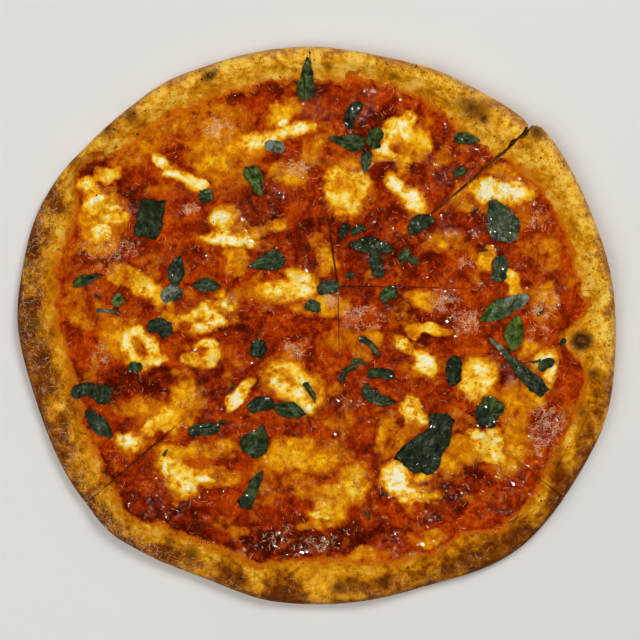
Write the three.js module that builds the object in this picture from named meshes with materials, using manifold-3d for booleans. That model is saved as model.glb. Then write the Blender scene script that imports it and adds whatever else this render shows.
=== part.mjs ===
// A thin-crust margherita pizza, baked round and cut into eight slices that still lie together.
// Millimetres, +Z up. The origin is under the middle of the pizza, on the surface it lies on.
// Each slice is a wedge of crust with its own sector of tomato sauce. Lumps of melted mozzarella lie
// on the sauce, and torn basil leaves lie over whatever is under them.

import * as THREE from 'three';
import { ParametricGeometry } from 'three/addons/geometries/ParametricGeometry.js';
import { mergeGeometries, mergeVertices } from 'three/addons/utils/BufferGeometryUtils.js';
import Module from 'manifold-3d';

const wasm = await Module();
wasm.setup();

// ---- Driving dimensions: millimetres, and degrees anticlockwise from +X ----

// The outline is an ellipse with swells: [angle, half of the stretch it covers, height, slice or none].
const HALF_LENGTH = 165.2;
const HALF_WIDTH = 154;
const SWELLS = [
  [38, 20, 3.6, 1],
  [44, 14, 2.2],
  [77, 16, -1.7],
  [122, 10, 1.2],
  [156, 18, 2.6],
  [180, 14, 0.67],
  [196, 24, -4],
  [225, 9, 2],
  [246, 16, -3],
  [313, 24, 7.4],
  [338, 22, 4],
];

// The bare rim between the sauce and the outer edge: its usual width, and where it is wider or narrower.
const RIM_WIDTH = 18;
const RIM_LOBES = [
  [357, 7, 9],
  [45, 22, 9],
  [77, 14, -4],
  [132, 14, -3],
  [146, 8, -13],
  [158, 7, 3],
  [190, 28, 6.5],
  [225, 10, -4],
  [270, 22, 7.5],
  [305, 6, 6],
  [320, 12, -3.5],
  [345, 8, -2],
];

// Heights of the crust. The rim overhangs its foot, and its outer edge is a lip that runs up to the crest.
const BASE_HEIGHT = 4.2;
const CREST_HEIGHT = 13;
const CREST_LOBES = [
  [45, 20, 1.6],
  [100, 24, -1.5],
  [180, 10, 1.5],
  [205, 22, -1.2],
  [282, 12, 2.4],
  [318, 20, 2],
  [350, 14, -1],
];
const LIP_HEIGHT = 5;
const UNDERCUT = 2.5;

// Shares of the rim's width, from the sauce out to the edge, and how far the rim has risen there.
const CREST_SHARE = 0.3;
const RIM_PROFILE = [
  [1, 0],
  [0.84, 0.16],
  [0.64, 0.56],
  [0.46, 0.92],
  [CREST_SHARE, 1],
  [0.16, 0.86],
  [0.06, 0.55],
  [0, 0],
];

// Bubbles baked into the rim: [angle, distance in from the edge, radius, height]. They fade out where
// the rim has risen less than this share of its height.
const BLISTER_FOOT = 0.5;
const BLISTERS = [
  [356.7, 18, 9, 3.4],
  [350, 10.5, 6, 2],
  [342, 13, 5, 1.6],
  [40.5, 7, 8, 2.4],
  [180, 8.5, 9, 2.8],
  [241.5, 9.5, 7, 1.6],
  [113, 8, 6.5, 1.6],
  [131.5, 6.5, 5, 1.3],
  [60, 12, 7, 1.5],
  [205, 11, 6, 1.3],
  [300, 9, 6, 1.4],
  [90, 8, 5, 1],
];

// The hand-stretched dough and its sauce are uneven: a long swell and a shorter ripple across it.
const UNEVENNESS = 0.45;
const SWELL_LENGTHS = [9, 8];
const SWELL_STARTS = [1.3, 0.4];
const RIPPLE_LENGTHS = [4.1, 5.3];
const RIPPLE_PART = 0.4;

// The cuts meet here, off the middle. Each has the angle at which it runs out, its sideways bow
// (anticlockwise is positive) and how much wider than the kerf it stands open at the rim.
const MEETING_POINT = [11.8, 21.7];
const KERF = 0.6;
const CUTS = [
  { angle: -1, bow: 0, gape: 0 },
  { angle: 40.4, bow: -3.3, gape: 2 },
  { angle: 96.2, bow: 2.2, gape: 0.3 },
  { angle: 140, bow: 1.5, gape: 0 },
  { angle: 177.7, bow: -1, gape: 0 },
  { angle: 220.8, bow: 0, gape: 0.3 },
  { angle: 269.4, bow: 1.5, gape: 0 },
  { angle: 316.7, bow: -3.3, gape: 0 },
];
const CUT_LENGTH = 165;

// Neighbouring pieces stand this far apart. The cheese blobs' centres lie a little below their floor,
// so that the blobs have an edge, and a leaf stays clear of what lies within its reach.
const GAP = 0.3;
const SAUCE_THICKNESS = 1.5;
const SAUCE_RELIEF = 0.2;
const CHEESE_DIP = 0.25;
const LEAF_THICKNESS = 0.7;
const LEAF_REACH = 1.5;
const LEAF_WAVE = 0.5;
const LEAF_WAVE_LENGTHS = [2.6, 3];

// How finely the surfaces are divided. The stations are shares of the way out to the foot of the rim.
const RAYS_PER_DEGREE = 0.31;
const BASE_STATIONS = [0, 0.34, 0.68];
const SAUCE_STATIONS = [0, 0.34, 0.68, 0.95, 1];
const BLOB_SIDES = 10;
const BLOB_RINGS = 6;
const LEAF_STEPS_ALONG = 6;
const LEAF_STEPS_ACROSS = 3;
const MERGE_DISTANCE = 1e-3;
const REACH_HALVINGS = 40;

// Mozzarella: each patch lies on one or two slices and is a union of blobs, in from the cuts:
// [x, y, length, width, turn].
const MOZZARELLA_HEIGHT = 2.2;
const MOZZARELLA = [
  { slices: [3], blobs: [[-12.5, 107.5, 24, 8, 12], [-30, 102.5, 25.5, 11, 8], [-18.5, 111.5, 7.5, 6.5, 0]] },
  {
    slices: [2],
    blobs: [[45, 107, 21, 16.5, 35], [51.5, 114, 10, 9, 0], [37, 99, 9, 7, 90], [38.5, 95.5, 16.5, 5, -8]],
  },
  { slices: [2], blobs: [[17, 76, 26.5, 25, 90]] },
  { slices: [2], blobs: [[43.5, 78, 14.5, 9, -40], [53.5, 69, 18.5, 11, -45]] },
  { slices: [1], blobs: [[91.5, 74, 15.5, 11, -35], [107, 73.5, 25.5, 13, -3]] },
  { slices: [8], blobs: [[125.5, -19.5, 14.5, 10, 30], [129, -26.5, 14.5, 6.5, 85]] },
  { slices: [8], blobs: [[88.5, -30, 23, 21, 90]] },
  { slices: [8], blobs: [[48, -11.5, 14.5, 7.5, -40], [60, -21.5, 18.5, 11, -45]] },
  { slices: [7], blobs: [[52, -46.5, 14.5, 12, 90], [57, -51.5, 12, 7.5, -40]] },
  {
    slices: [7],
    blobs: [[45.5, -82, 18.5, 12, -30], [52.5, -91, 28.5, 12, -5], [59.5, -84.5, 14.5, 9, 0]],
  },
  {
    slices: [7],
    blobs: [[87, -60, 10, 6.5, 0], [92, -60.5, 10, 5.5, -10], [98, -63, 13, 9, 100],
      [98, -71, 14.5, 7.5, 110]],
  },
  { slices: [6], blobs: [[3, -104, 14.5, 5.5, 0], [6.5, -96.5, 18.5, 5.5, 85]] },
  { slices: [6], blobs: [[-77.5, -81.5, 22, 15.5, -40], [-73, -89, 13, 12, 0], [-63, -85, 15, 4.5, 0]] },
  { slices: [5], blobs: [[-102, -63, 15.5, 12, 0], [-89.5, -52.5, 25, 7, 35], [-72, -41.5, 22, 7.5, 35]] },
  {
    slices: [5],
    blobs: [[-104, -11.5, 18, 8.5, 100], [-100.5, -3.5, 12, 7, 10], [-92.5, -9.5, 21, 7.5, -52],
      [-89, -19.5, 14, 7.5, 15], [-99, -19.5, 15, 7.5, -30]],
  },
  { slices: [5], blobs: [[-70.5, 4, 23, 7, 18], [-55.5, 9.5, 27.5, 13, 28], [-61, 0.5, 24, 7.5, 12]] },
  { slices: [5], blobs: [[-68, -19, 16.5, 6.5, -10], [-58, -17.5, 13, 10, 55], [-60, -10.5, 14.5, 6, 5]] },
  { slices: [6], blobs: [[-17.5, -29, 24, 20, -35], [-8.5, -36.5, 25.5, 18.5, -50], [-4.5, -45, 10, 9, 0]] },
  { slices: [4, 5], blobs: [[-21, 19, 22, 12, -10], [-9.5, 20, 20, 11, 0], [-9, 27, 16.5, 7.5, -20]] },
  { slices: [4], blobs: [[-52.5, 59, 13, 12, 0], [-48, 47, 32, 8, -6], [-51.5, 53, 9, 9, 0]] },
  {
    slices: [4],
    blobs: [[-84.5, 90, 17.5, 6.5, -38], [-69.5, 80.5, 25.5, 9, -25], [-79, 84, 11, 7.5, 0]],
  },
  {
    slices: [4],
    blobs: [[-128, 78, 12, 9, 0], [-121.5, 67.5, 22, 15.5, -60], [-113.5, 62.5, 18.5, 15.5, 0]],
  },
];

// Basil: [slice, x, y, length, width, direction of the tip, sideways bend, shape].
const BASIL = [
  [3, -5.5, 136, 23, 10, 86, 0, 'tip'],
  [2, 20, 116.5, 16.5, 7, 62, 1, 'torn'],
  [2, 16.5, 101.5, 19.5, 9.5, 168, 0, 'tip'],
  [2, 32.5, 103.5, 12, 9, 70, 1, 'torn'],
  [1, 102.5, 57.5, 26.5, 17.5, -60, 0, 'leaf'],
  [2, 55.5, 55.5, 14.5, 9, 55, 0, 'leaf'],
  [2, 30.5, 43.5, 24, 10, -8, 1, 'leaf'],
  [1, 101, 31, 14.5, 9, 85, 0, 'torn'],
  [8, 103.5, 9.5, 29.5, 11, 207, -1, 'tip'],
  [8, 109.5, -4.5, 20, 10, 80, 1, 'leaf'],
  [8, 110.6, -22.4, 43, 7.5, 134.5, 0.6, 'strip'],
  [8, 75.5, -24.5, 17, 9, 85, 0, 'torn'],
  [8, 95, -47.5, 17.5, 14.5, 60, 0, 'torn'],
  [7, 62.3, -64.8, 36.5, 21.5, 52, 1, 'torn'],
  [7, 34, -40, 20.5, 8, -22, -2, 'strip'],
  [4, -28, 35, 21, 11, 195, -1, 'tip'],
  [6, -14.5, -47, 18.5, 9, -12, 1, 'leaf'],
  [6, -32.8, -63.5, 18.5, 15.5, 60, 0, 'tip'],
  [6, -35.3, -90.3, 23.5, 8.5, 62, 0, 'strip'],
  [5, -120, -54.5, 21, 9.5, -47, 0, 'leaf'],
  [4, -92, 59, 22, 14, 80, 0, 'torn'],
];

// Half widths along a leaf, from its stalk end to its tip, as shares of its half width.
const LEAF_SHAPES = {
  leaf: [0.16, 0.66, 0.94, 1, 0.88, 0.58, 0.1],
  tip: [0.5, 0.92, 1, 0.86, 0.62, 0.36, 0.08],
  torn: [0.66, 0.9, 0.82, 1, 0.86, 0.94, 0.6],
  strip: [1, 0.86, 0.8, 0.7, 0.8, 0.56, 0.3],
};

const FINISHES = {
  crust: { color: 0xc98a2e, roughness: 0.72 },
  sauce: { color: 0xa8330a, roughness: 0.35 },
  mozzarella: { color: 0xf2dc9c, roughness: 0.38 },
  basil: { color: 0x1f3a1c, roughness: 0.55 },
};

// ---- The pizza's form ----

const radians = THREE.MathUtils.degToRad;

/** A smooth swell of height 1 at 0 that dies out where offset reaches reach. */
function swell(offset, reach) {
  const share = Math.min(Math.abs(offset) / reach, 1);
  return 0.5 + 0.5 * Math.cos(Math.PI * share);
}

/** The sum of lobes [angle, half stretch, height] at an angle in degrees. */
function lobesAt(lobes, angle) {
  let sum = 0;
  for (const [centre, halfStretch, height] of lobes) {
    const offset = THREE.MathUtils.euclideanModulo(angle - centre + 180, 360) - 180;
    sum += height * swell(offset, halfStretch);
  }
  return sum;
}

/** Radius of the outer edge at an angle, on one of the slices. */
function outlineRadius(angle, slice) {
  const turn = radians(angle);
  const ellipse = 1 / Math.hypot(Math.cos(turn) / HALF_LENGTH, Math.sin(turn) / HALF_WIDTH);
  return ellipse + lobesAt(SWELLS.filter((entry) => !entry[3] || entry[3] === slice), angle);
}

/** Width of the bare rim at an angle. */
function rimWidth(angle) {
  return RIM_WIDTH + lobesAt(RIM_LOBES, angle);
}

/** Height that the rim has risen to, as a share, at a share of its width in from the edge. */
function rimRise(share) {
  const upper = RIM_PROFILE.findIndex(([at]) => at <= share);
  if (upper < 1) return share >= 1 ? 0 : RIM_PROFILE.at(-1)[1];
  const [from, low] = RIM_PROFILE[upper - 1];
  const [to, high] = RIM_PROFILE[upper];
  return THREE.MathUtils.mapLinear(share, from, to, low, high);
}

/** A gentle unevenness, from -1 to 1. */
function unevenness(x, y) {
  const alongX = Math.sin(x / SWELL_LENGTHS[0] + SWELL_STARTS[0]);
  const alongY = Math.sin(y / SWELL_LENGTHS[1] + SWELL_STARTS[1]);
  const ripple = Math.sin(x / RIPPLE_LENGTHS[0] - y / RIPPLE_LENGTHS[1]);
  return THREE.MathUtils.lerp(alongX * alongY, ripple, RIPPLE_PART);
}

/** Height of the crust's top at a point, on one of the slices. */
function crustHeight(x, y, slice) {
  const angle = THREE.MathUtils.radToDeg(Math.atan2(y, x));
  const inset = outlineRadius(angle, slice) - Math.hypot(x, y);
  const share = inset / rimWidth(angle);
  if (share >= 1) return BASE_HEIGHT;
  const rise = rimRise(Math.max(share, 0));
  const crest = CREST_HEIGHT + lobesAt(CREST_LOBES, angle) + UNEVENNESS * unevenness(x, y);
  const foot = THREE.MathUtils.lerp(LIP_HEIGHT, BASE_HEIGHT, Math.min(share / CREST_SHARE, 1));
  let height = foot + (crest - foot) * rise;
  for (const [at, distance, radius, blister] of BLISTERS) {
    const centre = outlineRadius(at, slice) - distance;
    const away = Math.hypot(x - centre * Math.cos(radians(at)), y - centre * Math.sin(radians(at)));
    height += blister * swell(away, radius) * Math.min(rise / BLISTER_FOOT, 1);
  }
  return height;
}

const SAUCE_TOP = BASE_HEIGHT + GAP + SAUCE_THICKNESS;
const CHEESE_FLOOR = SAUCE_TOP + SAUCE_RELIEF + GAP;

/** A slice lies between two neighbouring cuts; numbers run anticlockwise from the cut along +X. */
function makeSlice(number) {
  const first = CUTS[number - 1];
  const last = number < CUTS.length ? CUTS[number] : { ...CUTS[0], angle: CUTS[0].angle + 360 };
  const opening = (cut) => THREE.MathUtils.radToDeg(cut.gape / 2 / CUT_LENGTH);
  const from = first.angle + opening(first);
  const to = last.angle - opening(last);
  const middle = radians((from + to) / 2);
  const set = KERF / 2 / Math.sin(radians(to - from) / 2);
  const tip = [MEETING_POINT[0] + set * Math.cos(middle), MEETING_POINT[1] + set * Math.sin(middle)];
  return { number, from, to, first, last, tip };
}

/** The point a distance out along one of a slice's rays; share 0 is its first cut and 1 its last. */
function pointOnRay(slice, share, distance) {
  const angle = radians(THREE.MathUtils.lerp(slice.from, slice.to, share));
  const part = distance / CUT_LENGTH;
  const bow = 4 * THREE.MathUtils.lerp(slice.first.bow, slice.last.bow, share) * part * (1 - part);
  return [
    slice.tip[0] + distance * Math.cos(angle) - bow * Math.sin(angle),
    slice.tip[1] + distance * Math.sin(angle) + bow * Math.cos(angle),
  ];
}

/** Distance out along a ray at which it reaches a closed line, given as that line's radius by angle. */
function reach(slice, share, radiusAt) {
  let near = 0;
  let far = 2 * CUT_LENGTH;
  for (let step = 0; step < REACH_HALVINGS; step += 1) {
    const distance = (near + far) / 2;
    const [x, y] = pointOnRay(slice, share, distance);
    const inside = Math.hypot(x, y) < radiusAt(THREE.MathUtils.radToDeg(Math.atan2(y, x)));
    if (inside) near = distance;
    else far = distance;
  }
  return near;
}

/** How many steps a slice is divided into from cut to cut. */
function rayCount(slice) {
  return Math.round((slice.to - slice.from) * RAYS_PER_DEGREE);
}

// ---- Solids ----

/** One closed solid from geometries that meet edge to edge, or from one closed geometry. */
function closed(pieces) {
  const bare = pieces.map((piece) => {
    piece.deleteAttribute('normal');
    piece.deleteAttribute('uv');
    return piece;
  });
  const merged = mergeVertices(mergeGeometries(bare), MERGE_DISTANCE);
  const corners = merged.index.array;
  const kept = [];
  for (let at = 0; at < corners.length; at += 3) {
    const [a, b, c] = corners.slice(at, at + 3);
    if (a !== b && b !== c && c !== a) kept.push(a, b, c);
  }
  merged.setIndex(kept);
  return merged;
}

/**
 * A closed slab. place(u, v, w) is a point of it, with u and v from 0 to 1 over the slab, and w 0 on
 * the underside and 1 on top. Both faces are split into triangles alike.
 */
function slab(place, stepsU, stepsV) {
  const face = (point, stepsA, stepsB) => new ParametricGeometry(
    (a, b, target) => target.set(...point(a, b)), stepsA, stepsB);
  return closed([
    face((a, b) => place(a, b, 1), stepsU, stepsV),
    face((a, b) => place(b, a, 0), stepsV, stepsU),
    face((a, b) => place(a, 0, b), stepsU, 1),
    face((a, b) => place(b, 1, a), 1, stepsU),
    face((a, b) => place(0, b, a), 1, stepsV),
    face((a, b) => place(1, a, b), stepsV, 1),
  ]);
}

/** A closed geometry as a solid that can be joined and cut. */
function toSolid(geometry) {
  return new wasm.Manifold(new wasm.Mesh({
    numProp: 3,
    vertProperties: new Float32Array(geometry.getAttribute('position').array),
    triVerts: new Uint32Array(geometry.index.array),
  }));
}

/** The geometry of a solid. */
function toGeometry(solid) {
  const mesh = solid.getMesh();
  const geometry = new THREE.BufferGeometry();
  geometry.setAttribute('position', new THREE.BufferAttribute(new Float32Array(mesh.vertProperties), 3));
  geometry.setIndex(Array.from(mesh.triVerts));
  return geometry;
}

/** The largest of the separate bodies of a solid. */
function largestBody(solid) {
  return solid.decompose().reduce((best, body) => (body.volume() > best.volume() ? body : best));
}

/** Trims a solid to its slice: a straight face beside each of the slice's two cuts, clear of the kerf. */
function trimToSlice(solid, slice, x, y) {
  const distance = Math.hypot(x - slice.tip[0], y - slice.tip[1]);
  let trimmed = solid;
  for (const share of [0, 1]) {
    const here = new THREE.Vector2(...pointOnRay(slice, share, distance));
    const ahead = new THREE.Vector2(...pointOnRay(slice, share, distance + 1));
    const along = ahead.sub(here).normalize();
    const side = share === 0 ? 1 : -1;
    const inward = [-along.y * side, along.x * side, 0];
    trimmed = trimmed.trimByPlane(inward, here.x * inward[0] + here.y * inward[1]);
  }
  return trimmed;
}

/** A wedge of crust: flat underneath, thin under the sauce, with a rounded rim at its outer end. */
function crustWedge(slice) {
  const stations = [...BASE_STATIONS, ...RIM_PROFILE];
  const place = (u, v, w) => {
    const at = Math.round(u * (stations.length - 1));
    const edge = reach(slice, v, (angle) => outlineRadius(angle, slice.number));
    const foot = reach(slice, v, (angle) => outlineRadius(angle, slice.number) - rimWidth(angle));
    if (at < BASE_STATIONS.length) {
      const [x, y] = pointOnRay(slice, v, foot * stations[at]);
      return [x, y, w * BASE_HEIGHT];
    }
    const out = 1 - stations[at][0];
    const end = w ? edge : edge - UNDERCUT;
    const [x, y] = pointOnRay(slice, v, THREE.MathUtils.lerp(foot, end, out));
    return [x, y, w * crustHeight(x, y, slice.number)];
  };
  return slab(place, stations.length - 1, rayCount(slice));
}

/** A sector of sauce on a slice, out to the foot of the rim. */
function sauceSector(slice) {
  const place = (u, v, w) => {
    const at = SAUCE_STATIONS[Math.round(u * (SAUCE_STATIONS.length - 1))];
    const foot = reach(slice, v, (angle) => outlineRadius(angle, slice.number) - rimWidth(angle));
    const [x, y] = pointOnRay(slice, v, (foot - GAP) * at);
    const top = at < 1 ? SAUCE_TOP + SAUCE_RELIEF * unevenness(x, y) : SAUCE_TOP - SAUCE_THICKNESS / 2;
    return [x, y, w ? top : BASE_HEIGHT + GAP];
  };
  return slab(place, SAUCE_STATIONS.length - 1, rayCount(slice));
}

/** Height of a blob of cheese above the cheese's floor at a point, or 0 beside it. */
function blobHeight([cx, cy, length, width, turn], x, y) {
  const [c, s] = [Math.cos(radians(turn)), Math.sin(radians(turn))];
  const along = ((x - cx) * c + (y - cy) * s) / (length / 2);
  const across = ((y - cy) * c - (x - cx) * s) / (width / 2);
  const rest = 1 - along * along - across * across;
  return rest > 0 ? (MOZZARELLA_HEIGHT + CHEESE_DIP) * Math.sqrt(rest) - CHEESE_DIP : 0;
}

/** A melted patch of mozzarella: rounded blobs joined into one, flat underneath. */
function cheesePatch(blobs, slice) {
  const parts = blobs.map(([x, y, length, width, turn]) => {
    const ball = new THREE.SphereGeometry(1, BLOB_SIDES, BLOB_RINGS);
    ball.rotateX(Math.PI / 2);
    ball.scale(length / 2, width / 2, MOZZARELLA_HEIGHT + CHEESE_DIP);
    ball.rotateZ(radians(turn));
    ball.translate(x, y, CHEESE_FLOOR - CHEESE_DIP);
    return toSolid(closed([ball]));
  });
  const patch = parts.reduce((whole, part) => whole.add(part));
  const flatBottomed = patch.trimByPlane([0, 0, 1], CHEESE_FLOOR);
  return toGeometry(largestBody(trimToSlice(flatBottomed, slice, blobs[0][0], blobs[0][1])));
}

/** Height of whatever is under a leaf at a point: crust, sauce or cheese. */
function groundHeight(x, y, slice) {
  let ground = Math.max(CHEESE_FLOOR - GAP, crustHeight(x, y, slice.number));
  for (const { blobs } of MOZZARELLA) {
    for (const blob of blobs) ground = Math.max(ground, CHEESE_FLOOR + blobHeight(blob, x, y));
  }
  return ground;
}

/** Highest ground within reach of a point, so that a leaf clears what it lies on. */
function clearHeight(x, y, slice) {
  let highest = 0;
  for (const dx of [-LEAF_REACH, 0, LEAF_REACH]) {
    for (const dy of [-LEAF_REACH, 0, LEAF_REACH]) {
      highest = Math.max(highest, groundHeight(x + dx, y + dy, slice));
    }
  }
  return highest;
}

/** A thin wavy basil leaf, or a torn piece of one, lying over what is under it. */
function basilLeaf([, cx, cy, length, width, direction, bend, shape], slice) {
  const halves = LEAF_SHAPES[shape];
  const turn = radians(direction);
  const place = (u, v, w) => {
    const half = (width / 2) * halves[Math.round(u * LEAF_STEPS_ALONG)];
    const along = (u - 0.5) * length;
    const across = (2 * v - 1) * half + bend * (4 * u * (1 - u) - 0.5);
    const x = cx + along * Math.cos(turn) - across * Math.sin(turn);
    const y = cy + along * Math.sin(turn) + across * Math.cos(turn);
    const lengthwise = Math.sin(along / LEAF_WAVE_LENGTHS[0] + cx);
    const wave = LEAF_WAVE * (1 + lengthwise * Math.cos(across / LEAF_WAVE_LENGTHS[1] + cy));
    return [x, y, clearHeight(x, y, slice) + GAP + wave + w * LEAF_THICKNESS];
  };
  const leaf = slab(place, LEAF_STEPS_ALONG, LEAF_STEPS_ACROSS);
  return toGeometry(largestBody(trimToSlice(toSolid(leaf), slice, cx, cy)));
}

// ---- The pizza ----

const pizza = new THREE.Group();

/** Adds one named piece to the pizza. */
function addPiece(name, geometry, finish) {
  const material = new THREE.MeshStandardMaterial({ ...FINISHES[finish], metalness: 0 });
  const mesh = new THREE.Mesh(geometry, material);
  mesh.name = name;
  pizza.add(mesh);
}

const slices = CUTS.map((cut, index) => makeSlice(index + 1));

for (const slice of slices) {
  addPiece(`crust_${slice.number}`, crustWedge(slice), 'crust');
  addPiece(`sauce_${slice.number}`, sauceSector(slice), 'sauce');
}

MOZZARELLA.forEach(({ slices: numbers, blobs }, index) => {
  numbers.forEach((number, half) => {
    const suffix = numbers.length > 1 ? '_' + 'ab'[half] : '';
    const name = `mozzarella_${String(index + 1).padStart(2, '0')}${suffix}`;
    addPiece(name, cheesePatch(blobs, slices[number - 1]), 'mozzarella');
  });
});

BASIL.forEach((leaf, index) => {
  const name = `basil_${String(index + 1).padStart(2, '0')}`;
  addPiece(name, basilLeaf(leaf, slices[leaf[0] - 1]), 'basil');
});

export default pizza;
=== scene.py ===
"""The looks of a thin-crust margherita pizza that is cut into eight slices which still lie together.

Each slice is a wedge of baked crust with its own sector of tomato sauce. Melted mozzarella, grated
cheese, torn basil, herbs and beads of oil lie on it. Every fine piece follows the form of the plain
solid that it stands for. Lengths are millimetres and angles are degrees anticlockwise from +X, both
turned into Blender's units only where a mesh is written.
"""

import logging
from dataclasses import dataclass, field
from enum import Enum
from typing import Callable, Sequence

import bmesh
import bpy
import numpy as np
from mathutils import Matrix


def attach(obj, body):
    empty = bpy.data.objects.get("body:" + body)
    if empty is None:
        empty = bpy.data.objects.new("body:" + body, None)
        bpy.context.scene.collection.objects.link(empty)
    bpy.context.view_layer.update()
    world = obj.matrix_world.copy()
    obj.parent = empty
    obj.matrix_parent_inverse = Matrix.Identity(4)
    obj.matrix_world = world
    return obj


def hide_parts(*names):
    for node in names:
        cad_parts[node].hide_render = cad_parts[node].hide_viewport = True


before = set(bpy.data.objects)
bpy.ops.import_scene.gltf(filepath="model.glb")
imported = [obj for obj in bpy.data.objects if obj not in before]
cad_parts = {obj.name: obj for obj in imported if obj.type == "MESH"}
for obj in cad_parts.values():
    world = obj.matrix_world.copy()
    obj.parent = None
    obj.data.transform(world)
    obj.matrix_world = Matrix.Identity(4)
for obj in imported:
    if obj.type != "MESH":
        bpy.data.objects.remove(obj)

log = logging.getLogger("margherita")
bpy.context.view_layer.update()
MM = 0.001
BODY = "root"
Array = np.ndarray


# ---- Small mathematics ----

def smooth_step(low: float, high: float, value: Array) -> Array:
    """Rises smoothly from 0 at low to 1 at high, or falls where low is the larger.

    Args:
        low: Value at which the result is 0.
        high: Value at which the result is 1.
        value: Values to map.

    Returns:
        The mapped values, between 0 and 1.
    """
    share = np.clip((value - low) / (high - low), 0.0, 1.0)
    return share * share * (3.0 - 2.0 * share)


def swell(offset: Array, reach: float) -> Array:
    """A smooth swell of height 1 at 0 that dies out where offset reaches reach."""
    return 0.5 + 0.5 * np.cos(np.pi * np.minimum(np.abs(offset) / reach, 1.0))


def smooth_curve(points: Sequence[tuple[float, float]], at: Array) -> Array:
    """Reads a smooth curve through a few points.

    Args:
        points: The points as (place, value), with the places rising.
        at: Places at which the curve is read.

    Returns:
        The values there; beyond the ends they stay at the end values.
    """
    places, values = np.array(points, dtype=float).T
    slopes = np.gradient(values, places)
    at = np.clip(at, places[0], places[-1])
    span = np.clip(np.searchsorted(places, at) - 1, 0, len(places) - 2)
    width = places[span + 1] - places[span]
    t = (at - places[span]) / width
    rise = values[span + 1] - values[span]
    start, end = slopes[span] * width, slopes[span + 1] * width
    return values[span] + t * (start + t * (3 * rise - 2 * start - end + t * (start + end - 2 * rise)))


class Grain:
    """Seeded noise over the plane, the same on every run."""

    TABLE = 256
    TURN = 0.7

    def __init__(self, seed: int) -> None:
        """Fills the table of random values from a seed."""
        self.values = np.random.default_rng(seed).uniform(-1.0, 1.0, (self.TABLE, self.TABLE))

    def plain(self, x: Array, y: Array, size: float) -> Array:
        """Smooth noise from -1 to 1.

        Args:
            x: Places along X.
            y: Places along Y.
            size: How large a bump is.

        Returns:
            The noise at those places.
        """
        gx, gy = x / size, y / size
        left, low = np.floor(gx).astype(int), np.floor(gy).astype(int)
        tx, ty = gx - left, gy - low
        tx, ty = tx * tx * (3 - 2 * tx), ty * ty * (3 - 2 * ty)
        left, low = left % self.TABLE, low % self.TABLE
        right, high = (left + 1) % self.TABLE, (low + 1) % self.TABLE
        lower = self.values[left, low] * (1 - tx) + self.values[right, low] * tx
        upper = self.values[left, high] * (1 - tx) + self.values[right, high] * tx
        return lower * (1 - ty) + upper * ty

    def layered(self, x: Array, y: Array, size: float, layers: int = 3) -> Array:
        """Noise with finer and weaker layers on top of the coarse one, from about -1 to 1.

        Args:
            x: Places along X.
            y: Places along Y.
            size: How large the coarsest bump is.
            layers: How many layers there are, each half the size of the one before.

        Returns:
            The noise at those places.
        """
        total, weight, sum_of_weights = np.zeros_like(x), 1.0, 0.0
        for layer in range(layers):
            turn = self.TURN * (layer + 1)
            u = x * np.cos(turn) - y * np.sin(turn) + 17.3 * layer
            v = x * np.sin(turn) + y * np.cos(turn) - 11.9 * layer
            total = total + weight * self.plain(u, v, size / 2 ** layer)
            sum_of_weights += weight
            weight *= 0.6
        return total / sum_of_weights * 1.4

    def shifted(self, x: Array, y: Array, size: float, amount: float) -> tuple[Array, Array]:
        """Places moved about by noise, so that a shape read there gets a natural edge."""
        return (x + amount * self.layered(x, y, size, 2),
                y + amount * self.layered(x + 91.7, y - 57.1, size, 2))


@dataclass(frozen=True)
class Patch:
    """An oval patch: its middle, length, width, turn and how strong it is there."""

    x: float
    y: float
    length: float
    width: float
    turn: float = 0.0
    strength: float = 1.0

    def rest(self, x: Array, y: Array) -> Array:
        """1 in the middle, 0 at the edge and below 0 outside."""
        c, s = np.cos(np.radians(self.turn)), np.sin(np.radians(self.turn))
        along = ((x - self.x) * c + (y - self.y) * s) / (self.length / 2)
        across = ((y - self.y) * c - (x - self.x) * s) / (self.width / 2)
        return 1.0 - along * along - across * across


def patch_strength(patches: Sequence[Patch], x: Array, y: Array) -> Array:
    """How strongly the strongest patch is felt at each place, fading out past its edge."""
    strength = np.zeros_like(x)
    for patch in patches:
        strength = np.maximum(strength, patch.strength * smooth_step(-1.4, 0.7, patch.rest(x, y)))
    return strength


def patches(*rows: tuple[float, ...]) -> tuple[Patch, ...]:
    """Patches from rows of x, y, length, width, turn and strength."""
    return tuple(Patch(*row) for row in rows)


# ---- The pizza's form, the same as the solids' ----

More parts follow.
